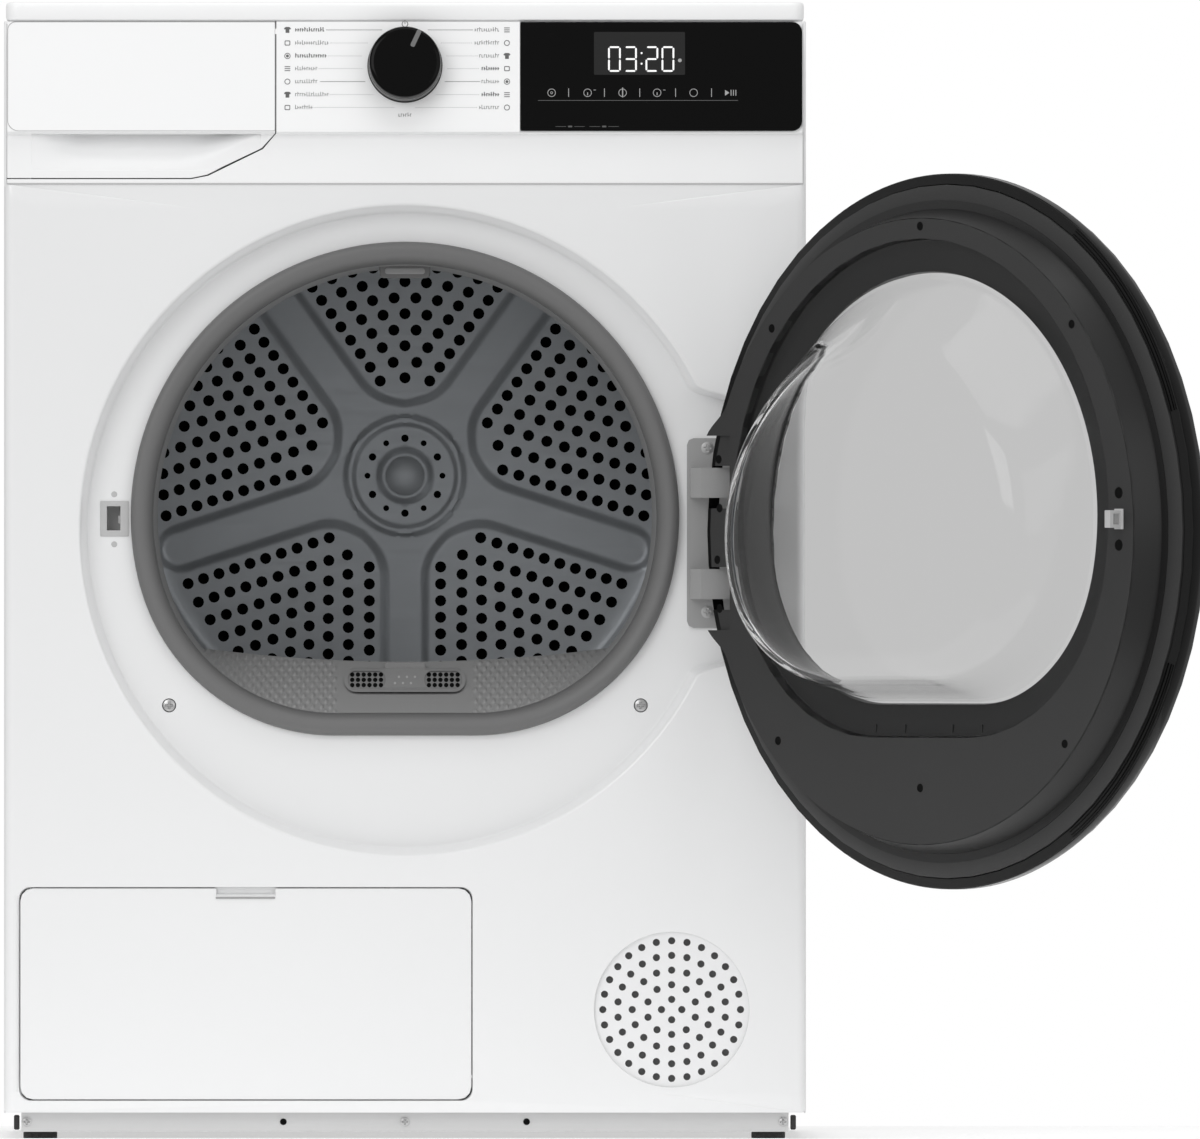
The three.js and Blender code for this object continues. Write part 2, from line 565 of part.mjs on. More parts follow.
// ---- Drive and heat pump ---------------------------------------------------------------------
function addMachinery() {
  const { x, z, pulley } = MOTOR;
  const beltInner = DRUM.radius + DRUM.wall + 3 * GAP;
  const loop = (grow) => {
    const big = beltInner + grow;
    const small = pulley + GAP + grow;
    const dx = x;
    const dz = z - DRUM.z;
    const away = Math.hypot(dx, dz);
    const heading = THREE.MathUtils.radToDeg(Math.atan2(dz, dx));
    const contact = THREE.MathUtils.radToDeg(Math.acos((big - small) / away));
    return [
      ...arc(0, DRUM.z, big, heading + contact, heading + 360 - contact, 48),
      ...arc(x, z, small, heading - contact, heading + contact, 8),
    ];
  };
  const belt = cut(slab(loop(BELT.thick), BELT.y0, BELT.y1), slab(loop(0), BELT.y0 - 1, BELT.y1 + 1));
  place("drum_belt", belt, BLACK_RUBBER);
  const shaft = join(disc(pulley, 16, 36, x, z, 16), disc(5, 35, 184, x, z, 16));
  place("motor_shaft", shaft, PLATED_STEEL);
  const motor = cut(disc(MOTOR.radius, 46, 166, x, z, 24), disc(5 + GAP, 40, 175, x, z, 16));
  place("motor_housing", motor, PLATED_STEEL);
  const wheelY = BELT.y0 - 1;
  const wheel = ring(IDLER.pin + GAP, IDLER.radius, wheelY, BELT.y1 + 1, IDLER.x, IDLER.z, 20);
  place("idler_pulley", wheel, DARK_PLASTIC);
  place("idler_arm", idlerArm(wheelY), PLATED_STEEL);
  const impeller = join(
    disc(72, 226, 230, x, z, 24),
    ...Array.from({ length: 12 }, (_, i) => {
      const a = (i * Math.PI) / 6;
      const blade = new THREE.BoxGeometry(22, 30, 2.4).translate(58, 212, 0).rotateY(-a).translate(x, 0, z);
      return toSolid(blade);
    }),
    disc(14, 184 + GAP, 228, x, z, 16),
  );
  place("fan_impeller", impeller, DARK_PLASTIC);
  const scroll = roundedBox(x - 84, x + 84, z - 84, z + 96, 60, 4);
  const scrollInside = roundedBox(x - 80, x + 80, z - 80, z + 92, 56, 4);
  const housing = cut(slab(scroll, 172, 240), slab(scrollInside, 176, 236), disc(46, 170, 180, x, z, 24),
    block(x - 30, x + 30, 180, 232, z + 80, z + 100));
  place("fan_housing", housing, DARK_PLASTIC);
  const floor = BASE_Z + 5 + GAP;
  const can = join(post(200, -160, 58, 30, 205, 24), post(200, -160, 70, floor, 31, 16));
  place("compressor", can, BLACK_RUBBER);
  place("evaporator", block(-262, 20, -185, -90, floor, 168), COPPER_PARTS);
  place("condenser_coil", block(-262, 20, -68, 12, floor, 168), COPPER_PARTS);
  const pump = join(post(-120, 150, 28, floor, 70, 16), block(-130, -110, 175, 200, 24, 44));
  place("condensate_pump", pump, WHITE_PLASTIC);
  const gland = join(disc(8.4, 280, 292, 230, 770, 16), disc(12, 285 + GAP, 290, 230, 770, 16));
  place("cable_gland", gland, BLACK_RUBBER);
}

// A flat link from the pivot on the base to the wheel's own pin.
function idlerArm(wheelY) {
  const from = new THREE.Vector2(IDLER.pivotX, IDLER.pivotZ);
  const to = new THREE.Vector2(IDLER.x, IDLER.z);
  const heading = THREE.MathUtils.radToDeg(Math.atan2(to.y - from.y, to.x - from.x));
  const outline = [
    ...arc(to.x, to.y, 9, heading - 90, heading + 90, 6),
    ...arc(from.x, from.y, 9, heading + 90, heading + 270, 6),
  ];
  return cut(
    join(slab(outline, BELT.y1 + 2, BELT.y1 + 5), disc(4, wheelY, BELT.y1 + 4, to.x, to.y, 12)),
    disc(IDLER.pin + GAP, 0, 60, from.x, from.y, 12),
  );
}

// ---- Service flap and the heat exchanger's cover --------------------------------------------------
function addServiceFlap() {
  const clear = 1.2;
  const plate = slab(
    roundedBox(FLAP.x0 + clear, FLAP.x1 - clear, FLAP.z0 + clear, FLAP.z1 - clear, FLAP.corner + 1.5),
    FRONT_Y + 0.4, FRONT_Y + 3.4,
  );
  const notch = bar(
    [
      [FRONT_Y + 6, FLAP.z1 - 3],
      [FRONT_Y + 6, FLAP.z1 + 1],
      [FRONT_Y - 1, FLAP.z1 + 1],
      [FRONT_Y - 1, FLAP.z1 - 8],
    ],
    -141, -97,
  );
  place("service_flap", cut(plate, notch), WHITE_PLASTIC);
  const coverY = -262;
  const leverX = [-246, 10];
  const coverPlate = slab(roundedBox(-272, 36, 46, 182, 14), coverY, coverY + 10);
  const handle = cut(
    block(-170, -66, coverY - 10, coverY + 1, 96, 128),
    block(-164, -72, coverY - 11, coverY - 3, 101, 123),
  );
  place("exchanger_cover", join(coverPlate, handle), LIGHT_GREY);
  for (const [name, x] of [["cover_lever_left", leverX[0]], ["cover_lever_right", leverX[1]]]) {
    const hub = disc(9, coverY - 9, coverY - GAP, x, 114, 16);
    const arm = block(x - 5, x + 5, coverY - 9, coverY - 4, 114, 146);
    place(name, join(hub, arm), finish(0x3f6ea5, 0.45));
  }
}

// ---- Hinge and door -------------------------------------------------------------------------------
const RING_Y = FRONT_Y + RECESS.depth - DOOR_GAP; // the closed door's ring face
const PIN_Y = RING_Y - PIN.out;

const KNUCKLE = 6; // radius of the arms' round ends

function addHinge() {
  const floorY = FRONT_Y + RECESS.depth - GAP;
  const plateFace = floorY - 2.5;
  const plate = slab(roundedBox(211, 246, HINGE_Z - 71, HINGE_Z + 71, 5, 2), plateFace, floorY);
  // Each arm stands up from the plate inside the door, then turns outwards to the pin.
  const arms = ARM_Z.map((middle) =>
    column(
      [
        new THREE.Vector2(213.5, plateFace + 1),
        new THREE.Vector2(213.5, PIN_Y + 2),
        new THREE.Vector2(221, PIN_Y - KNUCKLE),
        ...arc(PIN.x, PIN_Y, KNUCKLE, -90, 90, 8),
        new THREE.Vector2(227, PIN_Y + 9),
        new THREE.Vector2(226, plateFace - 6),
        new THREE.Vector2(233, plateFace + 1),
      ],
      middle - ARM_HALF, middle + ARM_HALF,
    ),
  );
  const pinHole = post(PIN.x, PIN_Y, PIN.radius + GAP, ARM_Z[0] - 20, ARM_Z[1] + 20, 16);
  place("hinge_plate", cut(join(plate, ...arms), pinHole), LIGHT_GREY);
  const pinEnd = ARM_HALF + 0.6;
  place("hinge_pin", post(PIN.x, PIN_Y, PIN.radius, ARM_Z[0] - pinEnd, ARM_Z[1] + pinEnd, 16), PLATED_STEEL);
}

// The door is built closed, in cabinet coordinates, then turned open about the hinge pin. "Out" is
// the distance in front of its ring face.
function addDoor() {
  const turnedOpen = new THREE.Group();
  turnedOpen.position.set(PIN.x, PIN_Y, 0);
  turnedOpen.rotation.z = THREE.MathUtils.degToRad(DOOR_OPEN_DEG);
  dryer.add(turnedOpen);
  const door = new THREE.Group();
  door.position.set(-PIN.x, -PIN_Y, 0);
  turnedOpen.add(door);
  const at = (out) => RING_Y - out;
  const z = RECESS.z - 1;

  // Room that the two hinge arms, the pin's knuckles and the hinge plate need inside the door.
  const armRoom = ARM_Z.map((middle) =>
    block(211.5, 300, at(PIN.out + KNUCKLE + 0.8), at(-5), middle - ARM_HALF - 8, middle + ARM_HALF + 1.5));
  const plateRoom = block(209.5, 260, at(2.2), at(-5), HINGE_Z - 72.5, HINGE_Z + 72.5);
  const armFoot = ARM_Z[0] - ARM_HALF - 8;
  const knuckleRoom = post(PIN.x, PIN_Y, KNUCKLE + 0.8, armFoot, ARM_Z[1] + ARM_HALF + 1.5, 16);

  const backing = turned(
    [[0, at(29.5)], [258, at(29.5)], [258, at(26)], [246, at(22)],
      [240, at(22)], [233, at(1)], [231.5, at(0)], [0, at(0)]],
    0, z, RING_SIDES,
  );
  const hollow = turned(
    [[0, at(30)], [236, at(30)], [236, at(24)], [229, at(4)], [0, at(4)]],
    0, z, RING_SIDES,
  );
  const innerBore = slab(openingOutline(1.5), at(40), at(-5));
  const wallOutside = slab(openingOutline(4.5), at(29.5), at(0));
  const shell = cut(backing, hollow);
  const wall = wallOutside.intersect(backing);
  place("door_inner_frame", cut(join(shell, wall), innerBore, plateRoom, ...armRoom), DARK_PLASTIC, door);

  const seat = cut(
    slab(openingOutline(1.5 - GAP), at(14), at(9.5)),
    slab(openingOutline(-27.5), at(16), at(8)),
  );
  place("door_bowl_ring", seat, BLACK_GLOSS, door);
  place("door_bowl", bowlSolid(at), CLEAR_GLASS, door);

  const outerRing = turned(
    [[214, at(50)], [251, at(50)], [262, at(46)], [266, at(37)], [266, at(29)], [258.6, at(27.5)],
      [258.6, at(31)], [262, at(36)], [250, at(46.5)], [214, at(46.5)]],
    0, z, RING_SIDES,
  );
  place("door_outer_ring", cut(outerRing, knuckleRoom, ...armRoom), BLACK_GLOSS, door);
  const glass = turned(
    [[0, at(53)], [110, at(52.2)], [213.7, at(50)], [213.7, at(46.5)], [0, at(49.5)]],
    0, z, RING_SIDES,
  );
  place("door_outer_glass", glass, CLEAR_GLASS, door);

  const leafFoot = ARM_Z[0] + ARM_HALF + 3;
  const leafHead = ARM_Z[1] - ARM_HALF - 9;
  const leaf = join(
    block(PIN.x - 13, PIN.x - 1, at(36.5), at(29.8), leafFoot, leafHead),
    block(PIN.x - 13, PIN.x - 1, at(43), at(36), leafFoot, leafHead),
    post(PIN.x, PIN_Y, KNUCKLE - 0.5, leafFoot, leafHead, 16),
  );
  place("hinge_leaf", cut(leaf, post(PIN.x, PIN_Y, PIN.radius + GAP, 300, 600, 16)), PLATED_STEEL, door);
  const hookZ = 463.1;
  const hook = cut(
    join(
      block(-221, -215, at(-GAP), at(-13), hookZ - 6.5, hookZ + 6.5),
      block(-222.6, -213.4, at(-GAP), at(-1.8), hookZ - 7.6, hookZ + 7.6),
    ),
    block(-225, -210, at(-3), at(-9), hookZ - 4, hookZ + 4),
  );
  place("door_hook", hook, LIGHT_GREY, door);
}

// A glass bowl that follows the opening's outline, smaller and further in at each step. Its deeper
// steps also draw down towards the foot.
function bowlSolid(at) {
  const steps = [[25.5, 9.2], [28.5, 0], [33, -22], [38.5, -42], [46.5, -52], [62, -58], [95, -61]];
  const wall = 4;
  const foot = OPENING.z - OPENING.corner - 14 + 45;
  const drawn = (height, out) => foot + (height - foot) * (1 - (0.16 * (9.2 - out)) / 70);
  const outlineAt = ([inset, out], extra) =>
    openingOutline(-inset - extra, 24).map(
      (p) => new THREE.Vector3(p.x, at(out) - extra * 1.1, drawn(p.y, out)),
    );
  const outer = steps.map((s) => outlineAt(s, 0));
  const inner = steps.map((s) => outlineAt(s, wall));
  inner[0].forEach((p, i) => p.copy(new THREE.Vector3(inner[0][i].x, at(steps[0][1]), inner[0][i].z)));
  const apexOut = new THREE.Vector3(0, at(-62), OPENING.z - 8);
  const apexIn = new THREE.Vector3(0, at(-62) - wall * 1.1, OPENING.z - 8);
  const points = [];
  const quad = (a, b, c, d) => points.push(a, b, c, a, c, d);
  const count = outer[0].length;
  for (let i = 0; i < count; i++) {
    const j = (i + 1) % count;
    for (let k = 0; k + 1 < steps.length; k++) {
      quad(outer[k][i], outer[k + 1][i], outer[k + 1][j], outer[k][j]);
      quad(inner[k][i], inner[k][j], inner[k + 1][j], inner[k + 1][i]);
    }
    const last = steps.length - 1;
    points.push(outer[last][i], apexOut, outer[last][j]);
    points.push(inner[last][i], inner[last][j], apexIn);
    quad(outer[0][i], outer[0][j], inner[0][j], inner[0][i]);
  }
  return toSolid(new THREE.BufferGeometry().setFromPoints(points));
}

addCabinet();
addBase();
addFrontPanel();
addControlPanel();
addWaterDrawer();
addBulkhead();
addLatch();
addDrum();
addMachinery();
addServiceFlap();
addHinge();
addDoor();

export default dryer;
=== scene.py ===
"""A front-loading heat-pump clothes dryer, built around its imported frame.

Sizes are millimetres in cabinet coordinates: x from the cabinet's middle plane, y back from the face of the
front panel, z up from the floor. The datum turns them into the frame's metres.
"""

from __future__ import annotations

import json
import logging
import math
from collections.abc import Callable, Sequence
from dataclasses import dataclass, field
from enum import Enum

import bmesh
import bpy
import numpy as np
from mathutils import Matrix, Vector, geometry

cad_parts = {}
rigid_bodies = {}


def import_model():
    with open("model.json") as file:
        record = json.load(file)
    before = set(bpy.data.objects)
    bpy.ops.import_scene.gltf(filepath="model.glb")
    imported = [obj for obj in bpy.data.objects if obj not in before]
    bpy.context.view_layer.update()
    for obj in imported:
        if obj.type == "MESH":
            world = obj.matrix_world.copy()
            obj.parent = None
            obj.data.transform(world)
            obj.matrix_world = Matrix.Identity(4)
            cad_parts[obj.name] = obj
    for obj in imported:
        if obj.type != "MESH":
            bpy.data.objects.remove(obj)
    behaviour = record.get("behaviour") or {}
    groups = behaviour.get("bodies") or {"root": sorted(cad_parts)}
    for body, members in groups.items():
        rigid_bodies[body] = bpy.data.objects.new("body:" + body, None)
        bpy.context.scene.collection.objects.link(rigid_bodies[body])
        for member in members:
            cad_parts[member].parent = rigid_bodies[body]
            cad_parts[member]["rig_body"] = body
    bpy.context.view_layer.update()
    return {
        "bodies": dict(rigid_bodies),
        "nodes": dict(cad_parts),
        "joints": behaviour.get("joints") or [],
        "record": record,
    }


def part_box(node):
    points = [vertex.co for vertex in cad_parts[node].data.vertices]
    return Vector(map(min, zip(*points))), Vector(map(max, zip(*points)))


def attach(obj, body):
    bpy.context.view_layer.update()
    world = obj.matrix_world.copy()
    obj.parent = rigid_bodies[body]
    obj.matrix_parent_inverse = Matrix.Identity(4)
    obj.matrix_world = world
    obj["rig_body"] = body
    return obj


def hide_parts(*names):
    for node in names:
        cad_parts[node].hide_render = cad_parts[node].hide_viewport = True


log = logging.getLogger("dryer")
MM = 0.001
WELD = 2e-6  # metres, for joining the seams of one piece
CAD_WELD = 1e-5  # metres, for a copy of a CAD node
PRINTED = (-0.1, 0.05)  # front and back of a printed mark, from the fascia's face
GUIDE = (-0.44, -0.2)  # the same for the display's key marks and guide lines
FIGURE = (-0.44, -0.3)  # the same for its figures
Outline = Callable[[float], np.ndarray]


# ---- Curves and outlines ---------------------------------------------------------------------------
def arc(cx: float, cz: float, radius: float, start: float, end: float, count: int) -> np.ndarray:
    """Points of an arc from start to end in degrees, both ends included."""
    angle = np.radians(np.linspace(start, end, count))
    return np.stack([cx + radius * np.cos(angle), cz + radius * np.sin(angle)], 1)


def circle(cx: float, cz: float, radius: float, count: int) -> np.ndarray:
    """Points of a full circle, the first not repeated."""
    return arc(cx, cz, radius, 0, 360, count + 1)[:-1]


def rounded_box(x0: float, x1: float, z0: float, z1: float, radius: float, count: int = 8) -> np.ndarray:
    """A rectangle whose corners are quarter circles.

    Args:
        x0: left side.
        x1: right side.
        z0: lower side.
        z1: upper side.
        radius: of the corners.
        count: points on each corner.

    Returns:
        The loop (N, 2), anticlockwise.
    """
    corners = [(x1 - radius, z1 - radius, 0), (x0 + radius, z1 - radius, 90),
               (x0 + radius, z0 + radius, 180), (x1 - radius, z0 + radius, 270)]
    return np.concatenate([arc(cx, cz, radius, a, a + 90, count) for cx, cz, a in corners])


def smooth(low: float, high: float, value: np.ndarray) -> np.ndarray:
    """Zero below low, one above high, and 3t^2 - 2t^3 between them."""
    t = np.clip((value - low) / (high - low), 0, 1)
    return t * t * (3 - 2 * t)


@dataclass(frozen=True)
class LoadingOutline:
    """The loading opening: a circle whose foot is a level line joined by two wide corners."""

    z: float = 465.8
    radius: float = 204.7
    corner: float = 150.0
    corner_x: float = 52.8
    corner_drop: float = 13.8

    def __call__(self, grow: float) -> np.ndarray:
        """The outline moved outwards by grow.

        Args:
            grow: distance outwards.

        Returns:
            The loop (N, 2).
        """
        lean = math.degrees(math.atan2(self.corner_drop, self.corner_x))
        low = self.z - self.corner_drop
        foot = low - self.corner - grow
        level = np.stack([np.linspace(-self.corner_x, self.corner_x, 12), np.full(12, foot)], 1)[1:-1]
        return np.concatenate([
            arc(0, self.z, self.radius + grow, -lean, 180 + lean, 130),
            arc(-self.corner_x, low, self.corner + grow, 180 + lean, 270, 36)[1:],
            level,
            arc(self.corner_x, low, self.corner + grow, 270, 360 - lean, 36)[:-1],
        ])


@dataclass(frozen=True)
class PocketedCircle:
    """A circle with a square-sided swelling to the right for the hinge, as a radius that depends on the
    angle.
    """

    z: float
    radius: float
    wall_x: float
    square_to: float = 19.5
    blend_to: float = 27.0
    count: int = 200

    def __call__(self, grow: float) -> np.ndarray:
        """The outline moved outwards by grow.

        Args:
            grow: distance outwards.

        Returns:
            The loop (N, 2).
        """
        side = np.linspace(-30, 30, 80)
        rest = np.linspace(30, 330, self.count)[1:-1]
        degrees = np.concatenate([side, rest])
        off = np.minimum(np.abs(degrees), np.abs(degrees - 360))
        flare = 1 - smooth(self.square_to, self.blend_to, off)
        flat = self.wall_x / np.cos(np.radians(np.minimum(off, self.square_to)))
        radius = self.radius + flare * (flat - self.radius) + grow
        angle = np.radians(degrees)
        return np.stack([radius * np.cos(angle), self.z + radius * np.sin(angle)], 1)


OPENING = LoadingOutline()


# ---- Surfaces --------------------------------------------------------------------------------------
def grid_faces(rows: int, cols: int, wrap_rows: bool, wrap_cols: bool) -> np.ndarray:
    """Quads of a grid of rows by cols points, with its last row or column joined to the first if asked.

    Args:
        rows: points one way.
        cols: points the other way.
        wrap_rows: whether the last row joins the first.
        wrap_cols: whether the last column joins the first.

    Returns:
        Point numbers of the quads (N, 4).
    """
    r = np.arange(rows if wrap_rows else rows - 1)[:, None]
    c = np.arange(cols if wrap_cols else cols - 1)[None, :]
    r2, c2 = (r + 1) % rows, (c + 1) % cols
    quads = np.stack([r * cols + c, r * cols + c2, r2 * cols + c2, r2 * cols + c], -1)
    return quads.reshape(-1, 4)


def inside(points: np.ndarray, loop: np.ndarray) -> np.ndarray:
    """Whether each point lies in a closed loop, by counting the loop's crossings to the right of it.

    Args:
        points: points (N, 2) to test.
        loop: a closed loop (M, 2).

    Returns:
        A truth value for each point.
    """
    result = np.zeros(len(points), bool)
    low, high = loop.min(0), loop.max(0)
    near = np.flatnonzero(((points > low) & (points < high)).all(1))
    if len(near):
        p, a, b = points[near][:, None, :], loop[None], np.roll(loop, -1, 0)[None]
        straddle = (a[..., 1] > p[..., 1]) != (b[..., 1] > p[..., 1])
        rise = np.where(a[..., 1] == b[..., 1], 1.0, b[..., 1] - a[..., 1])
        cross = a[..., 0] + (p[..., 1] - a[..., 1]) / rise * (b[..., 0] - a[..., 0])
        result[near] = (straddle & (p[..., 0] < cross)).sum(1) % 2 == 1
    return result


def triangulate(outer: np.ndarray, holes: Sequence[np.ndarray], extra: np.ndarray | None = None
                ) -> tuple[np.ndarray, np.ndarray]:
    """Delaunay triangles of a flat region.

    Args:
        outer: the loop round the region.
        holes: loops left open in it.
        extra: further points that the triangles should use.

    Returns:
        The points (N, 2) and the triangles (M, 3).
    """
    loops = [outer, *holes]
    starts = np.cumsum([0] + [len(loop) for loop in loops])
    edges = np.concatenate([
        np.stack([np.arange(len(loop)), (np.arange(len(loop)) + 1) % len(loop)], 1) + start
        for loop, start in zip(loops, starts)])
    points = np.concatenate(loops + ([extra] if extra is not None else []))
    found = geometry.delaunay_2d_cdt([Vector(p) for p in points.tolist()], edges.tolist(), [], 0, 1e-5)
    points = np.array([tuple(v) for v in found[0]])
    triangles = np.array(found[2])
    middle = points[triangles].mean(1)
    keep = inside(middle, outer)
    for hole in holes:
        keep &= ~inside(middle, hole)
    used, again = np.unique(triangles[keep], return_inverse=True)
    return points[used], again.reshape(-1, 3)


Height = Callable[[np.ndarray, np.ndarray], np.ndarray]


def level(y: float) -> Height:
    """A flat face at depth y."""
    return lambda x, z: np.full(x.shape, float(y))


class Shape:
    """Points and faces of one piece, gathered from closed shells and made into one object."""

    def __init__(self) -> None:
        self.points: list[np.ndarray] = []
        self.faces: list[np.ndarray] = []
        self.count = 0

    def add(self, points: np.ndarray, faces: np.ndarray) -> Shape:
        """Adds points (N, 3) and faces that index them.

        Args:
            points: points (N, 3).
            faces: their numbers, face by face.

        Returns:
            This shape.
        """
        self.points.append(points.reshape(-1, 3))
        self.faces.append(faces + self.count)
        self.count += self.points[-1].shape[0]
        return self

    def loft(self, rings: np.ndarray, close: bool = True, caps: bool = False) -> Shape:
        """Adds closed rings (M, N, 3) joined in order, the last back to the first, or else with flat caps.

        Args:
            rings: the rings in order.
            close: whether the last ring joins the first.
            caps: whether flat ends are added.

        Returns:
            This shape.
        """
        rows, cols = rings.shape[:2]
        base = self.count
        self.add(rings, grid_faces(rows, cols, close, True))
        if caps:
            for row in (0, rows - 1):
                self.faces.append((np.arange(cols) + base + row * cols)[None])
        return self

    def sweep(self, outline: Outline, profile: Sequence[tuple[float, float]]) -> Shape:
        """Adds a closed profile of (grow, y) carried round an outline in x and z.

        Args:
            outline: gives the loop for a distance outwards.
            profile: the section as (grow, y).

        Returns:
            This shape.
        """
        rings = []
        for grow, y in profile:
            xz = outline(grow)
            rings.append(np.stack([xz[:, 0], np.full(len(xz), y), xz[:, 1]], 1))
        return self.loft(np.array(rings))

    def turn(self, profile: Sequence[tuple[float, float]], x: float, z: float, count: int) -> Shape:
        """Adds a profile of (radius, y) turned about the line along y through (x, z); radius 0 closes a pole.

        Args:
            profile: the section as (radius, y).
            x: across, of the axis.
            z: height of the axis.
            count: steps round the axis.

        Returns:
            This shape.
        """
        radius, depth = np.array(profile, float).T
        angle = np.linspace(0, 2 * np.pi, count, endpoint=False)
        rings = np.stack([
            x + radius[:, None] * np.cos(angle), np.repeat(depth[:, None], count, 1),
            z + radius[:, None] * np.sin(angle)], -1)
        return self.loft(rings, close=bool(radius[0] > 0))

    def plate(self, outer: np.ndarray, holes: Sequence[np.ndarray], front: Height, back: Height,
              extra: np.ndarray | None = None) -> Shape:
        """Adds a plate in x and z with holes, between a front and a back surface given as y over (x, z).

        Args:
            outer: the loop round it.
            holes: the loops left open.
            front: depth of the front face.
            back: depth of the back face.
            extra: further points for the faces.

        Returns:
            This shape.
        """
        flat, triangles = triangulate(outer, holes, extra)
        for surface in (front, back):
            y = surface(flat[:, 0], flat[:, 1])
            self.add(np.stack([flat[:, 0], y, flat[:, 1]], 1), triangles)
        for loop in [outer, *holes]:
            wall = [np.stack([loop[:, 0], f(loop[:, 0], loop[:, 1]), loop[:, 1]], 1) for f in (front, back)]
            self.add(np.array(wall), grid_faces(2, len(loop), False, True))
        return self

    def slab(self, outline: np.ndarray, y0: float, y1: float, edge: float = 0.0) -> Shape:
        """Adds a closed block with an outline in x and z, its front rim rounded by insetting towards its
        middle.

        Args:
            outline: the loop in x and z.
            y0: depth of the front.
            y1: depth of the back.
            edge: radius of the front rim.

        Returns:
            This shape.
        """
        turn = np.linspace(0, np.pi / 2, 5)
        steps = [(0.0, y0)]
        if edge:
            steps = [(edge * (1 - math.sin(t)), y0 + edge * (1 - math.cos(t))) for t in turn]
        centre = (outline.min(0) + outline.max(0)) / 2
        half = (outline.max(0) - outline.min(0)) / 2
        rings = [np.stack([
            centre[0] + (outline[:, 0] - centre[0]) * (1 - inset / half[0]), np.full(len(outline), y),
            centre[1] + (outline[:, 1] - centre[1]) * (1 - inset / half[1])], 1) for inset, y in steps]
        rings.append(np.stack([outline[:, 0], np.full(len(outline), y1), outline[:, 1]], 1))
        return self.loft(np.array(rings), close=False, caps=True)

    def box(self, low: Sequence[float], high: Sequence[float], edge: float = 0.6) -> Shape:
        """Adds a block along the axes whose twelve edges are bevelled by edge.

        Args:
            low: the least corner.
            high: the greatest corner.
            edge: width of the bevel.

        Returns:
            This shape.
        """
        low, high = np.array(low, float), np.array(high, float)
        edge = min(edge, float((high - low).min()) / 2.5)
        rings = []
        for y, inset in ((low[1], edge), (low[1] + edge, 0.0), (high[1] - edge, 0.0), (high[1], edge)):
            xz = rounded_box(low[0] + inset, high[0] - inset, low[2] + inset, high[2] - inset, edge, 2)
            rings.append(np.stack([xz[:, 0], np.full(len(xz), y), xz[:, 1]], 1))
        return self.loft(np.array(rings), close=False, caps=True)

    def extrude_x(self, yz: Sequence[tuple[float, float]], x0: float, x1: float) -> Shape:
        """Adds a closed bar with an outline in y and z, carried from x0 to x1.

        Args:
            yz: the section.
            x0: left end.
            x1: right end.

        Returns:
            This shape.
        """
        outline = np.array(yz, float)
        rings = [np.stack([np.full(len(outline), x), outline[:, 0], outline[:, 1]], 1) for x in (x0, x1)]
        return self.loft(np.array(rings), close=False, caps=True)

    def moved(self, change: Callable[[np.ndarray], np.ndarray]) -> Shape:
        """Changes every point so far by a function of the whole (N, 3) array."""
        self.points = [change(p) for p in self.points]
        return self

    def merge(self, other: Shape) -> Shape:
        """Adds another shape's shells.

        Args:
            other: the shape whose shells are taken over.

        Returns:
            This shape.
        """
        for points in other.points:
            self.points.append(points)
        for faces in other.faces:
            self.faces.append(faces + self.count)
        self.count += other.count
        return self


@dataclass(frozen=True)
class Datum:
    """Where cabinet coordinates lie in the frame, in metres."""

    x: float
    y: float

    @classmethod
    def from_frame(cls) -> Datum:
        """Reads the middle plane from the side panels and the face from the front panel."""
        left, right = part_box("left_side_panel")[0].x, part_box("right_side_panel")[1].x
        return cls((left + right) / 2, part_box("front_panel")[0].y)

    def world(self, points: np.ndarray) -> np.ndarray:
        """Cabinet millimetres as frame metres."""
        return points * MM + np.array([self.x, self.y, 0.0])

    def local(self, point: Sequence[float]) -> np.ndarray:
        """A point in frame metres as cabinet millimetres."""
        return (np.array(point, float) - np.array([self.x, self.y, 0.0])) / MM


# ---- Finishes --------------------------------------------------------------------------------------
class Grain(Enum):
    """How the fine noise of a finish is stretched along x, y and z."""

    EVEN = (1.0, 1.0, 1.0)
    ALONG_X = (0.03, 1.0, 1.0)
    ALONG_Y = (1.0, 0.02, 1.0)
    ALONG_Z = (1.0, 1.0, 0.03)


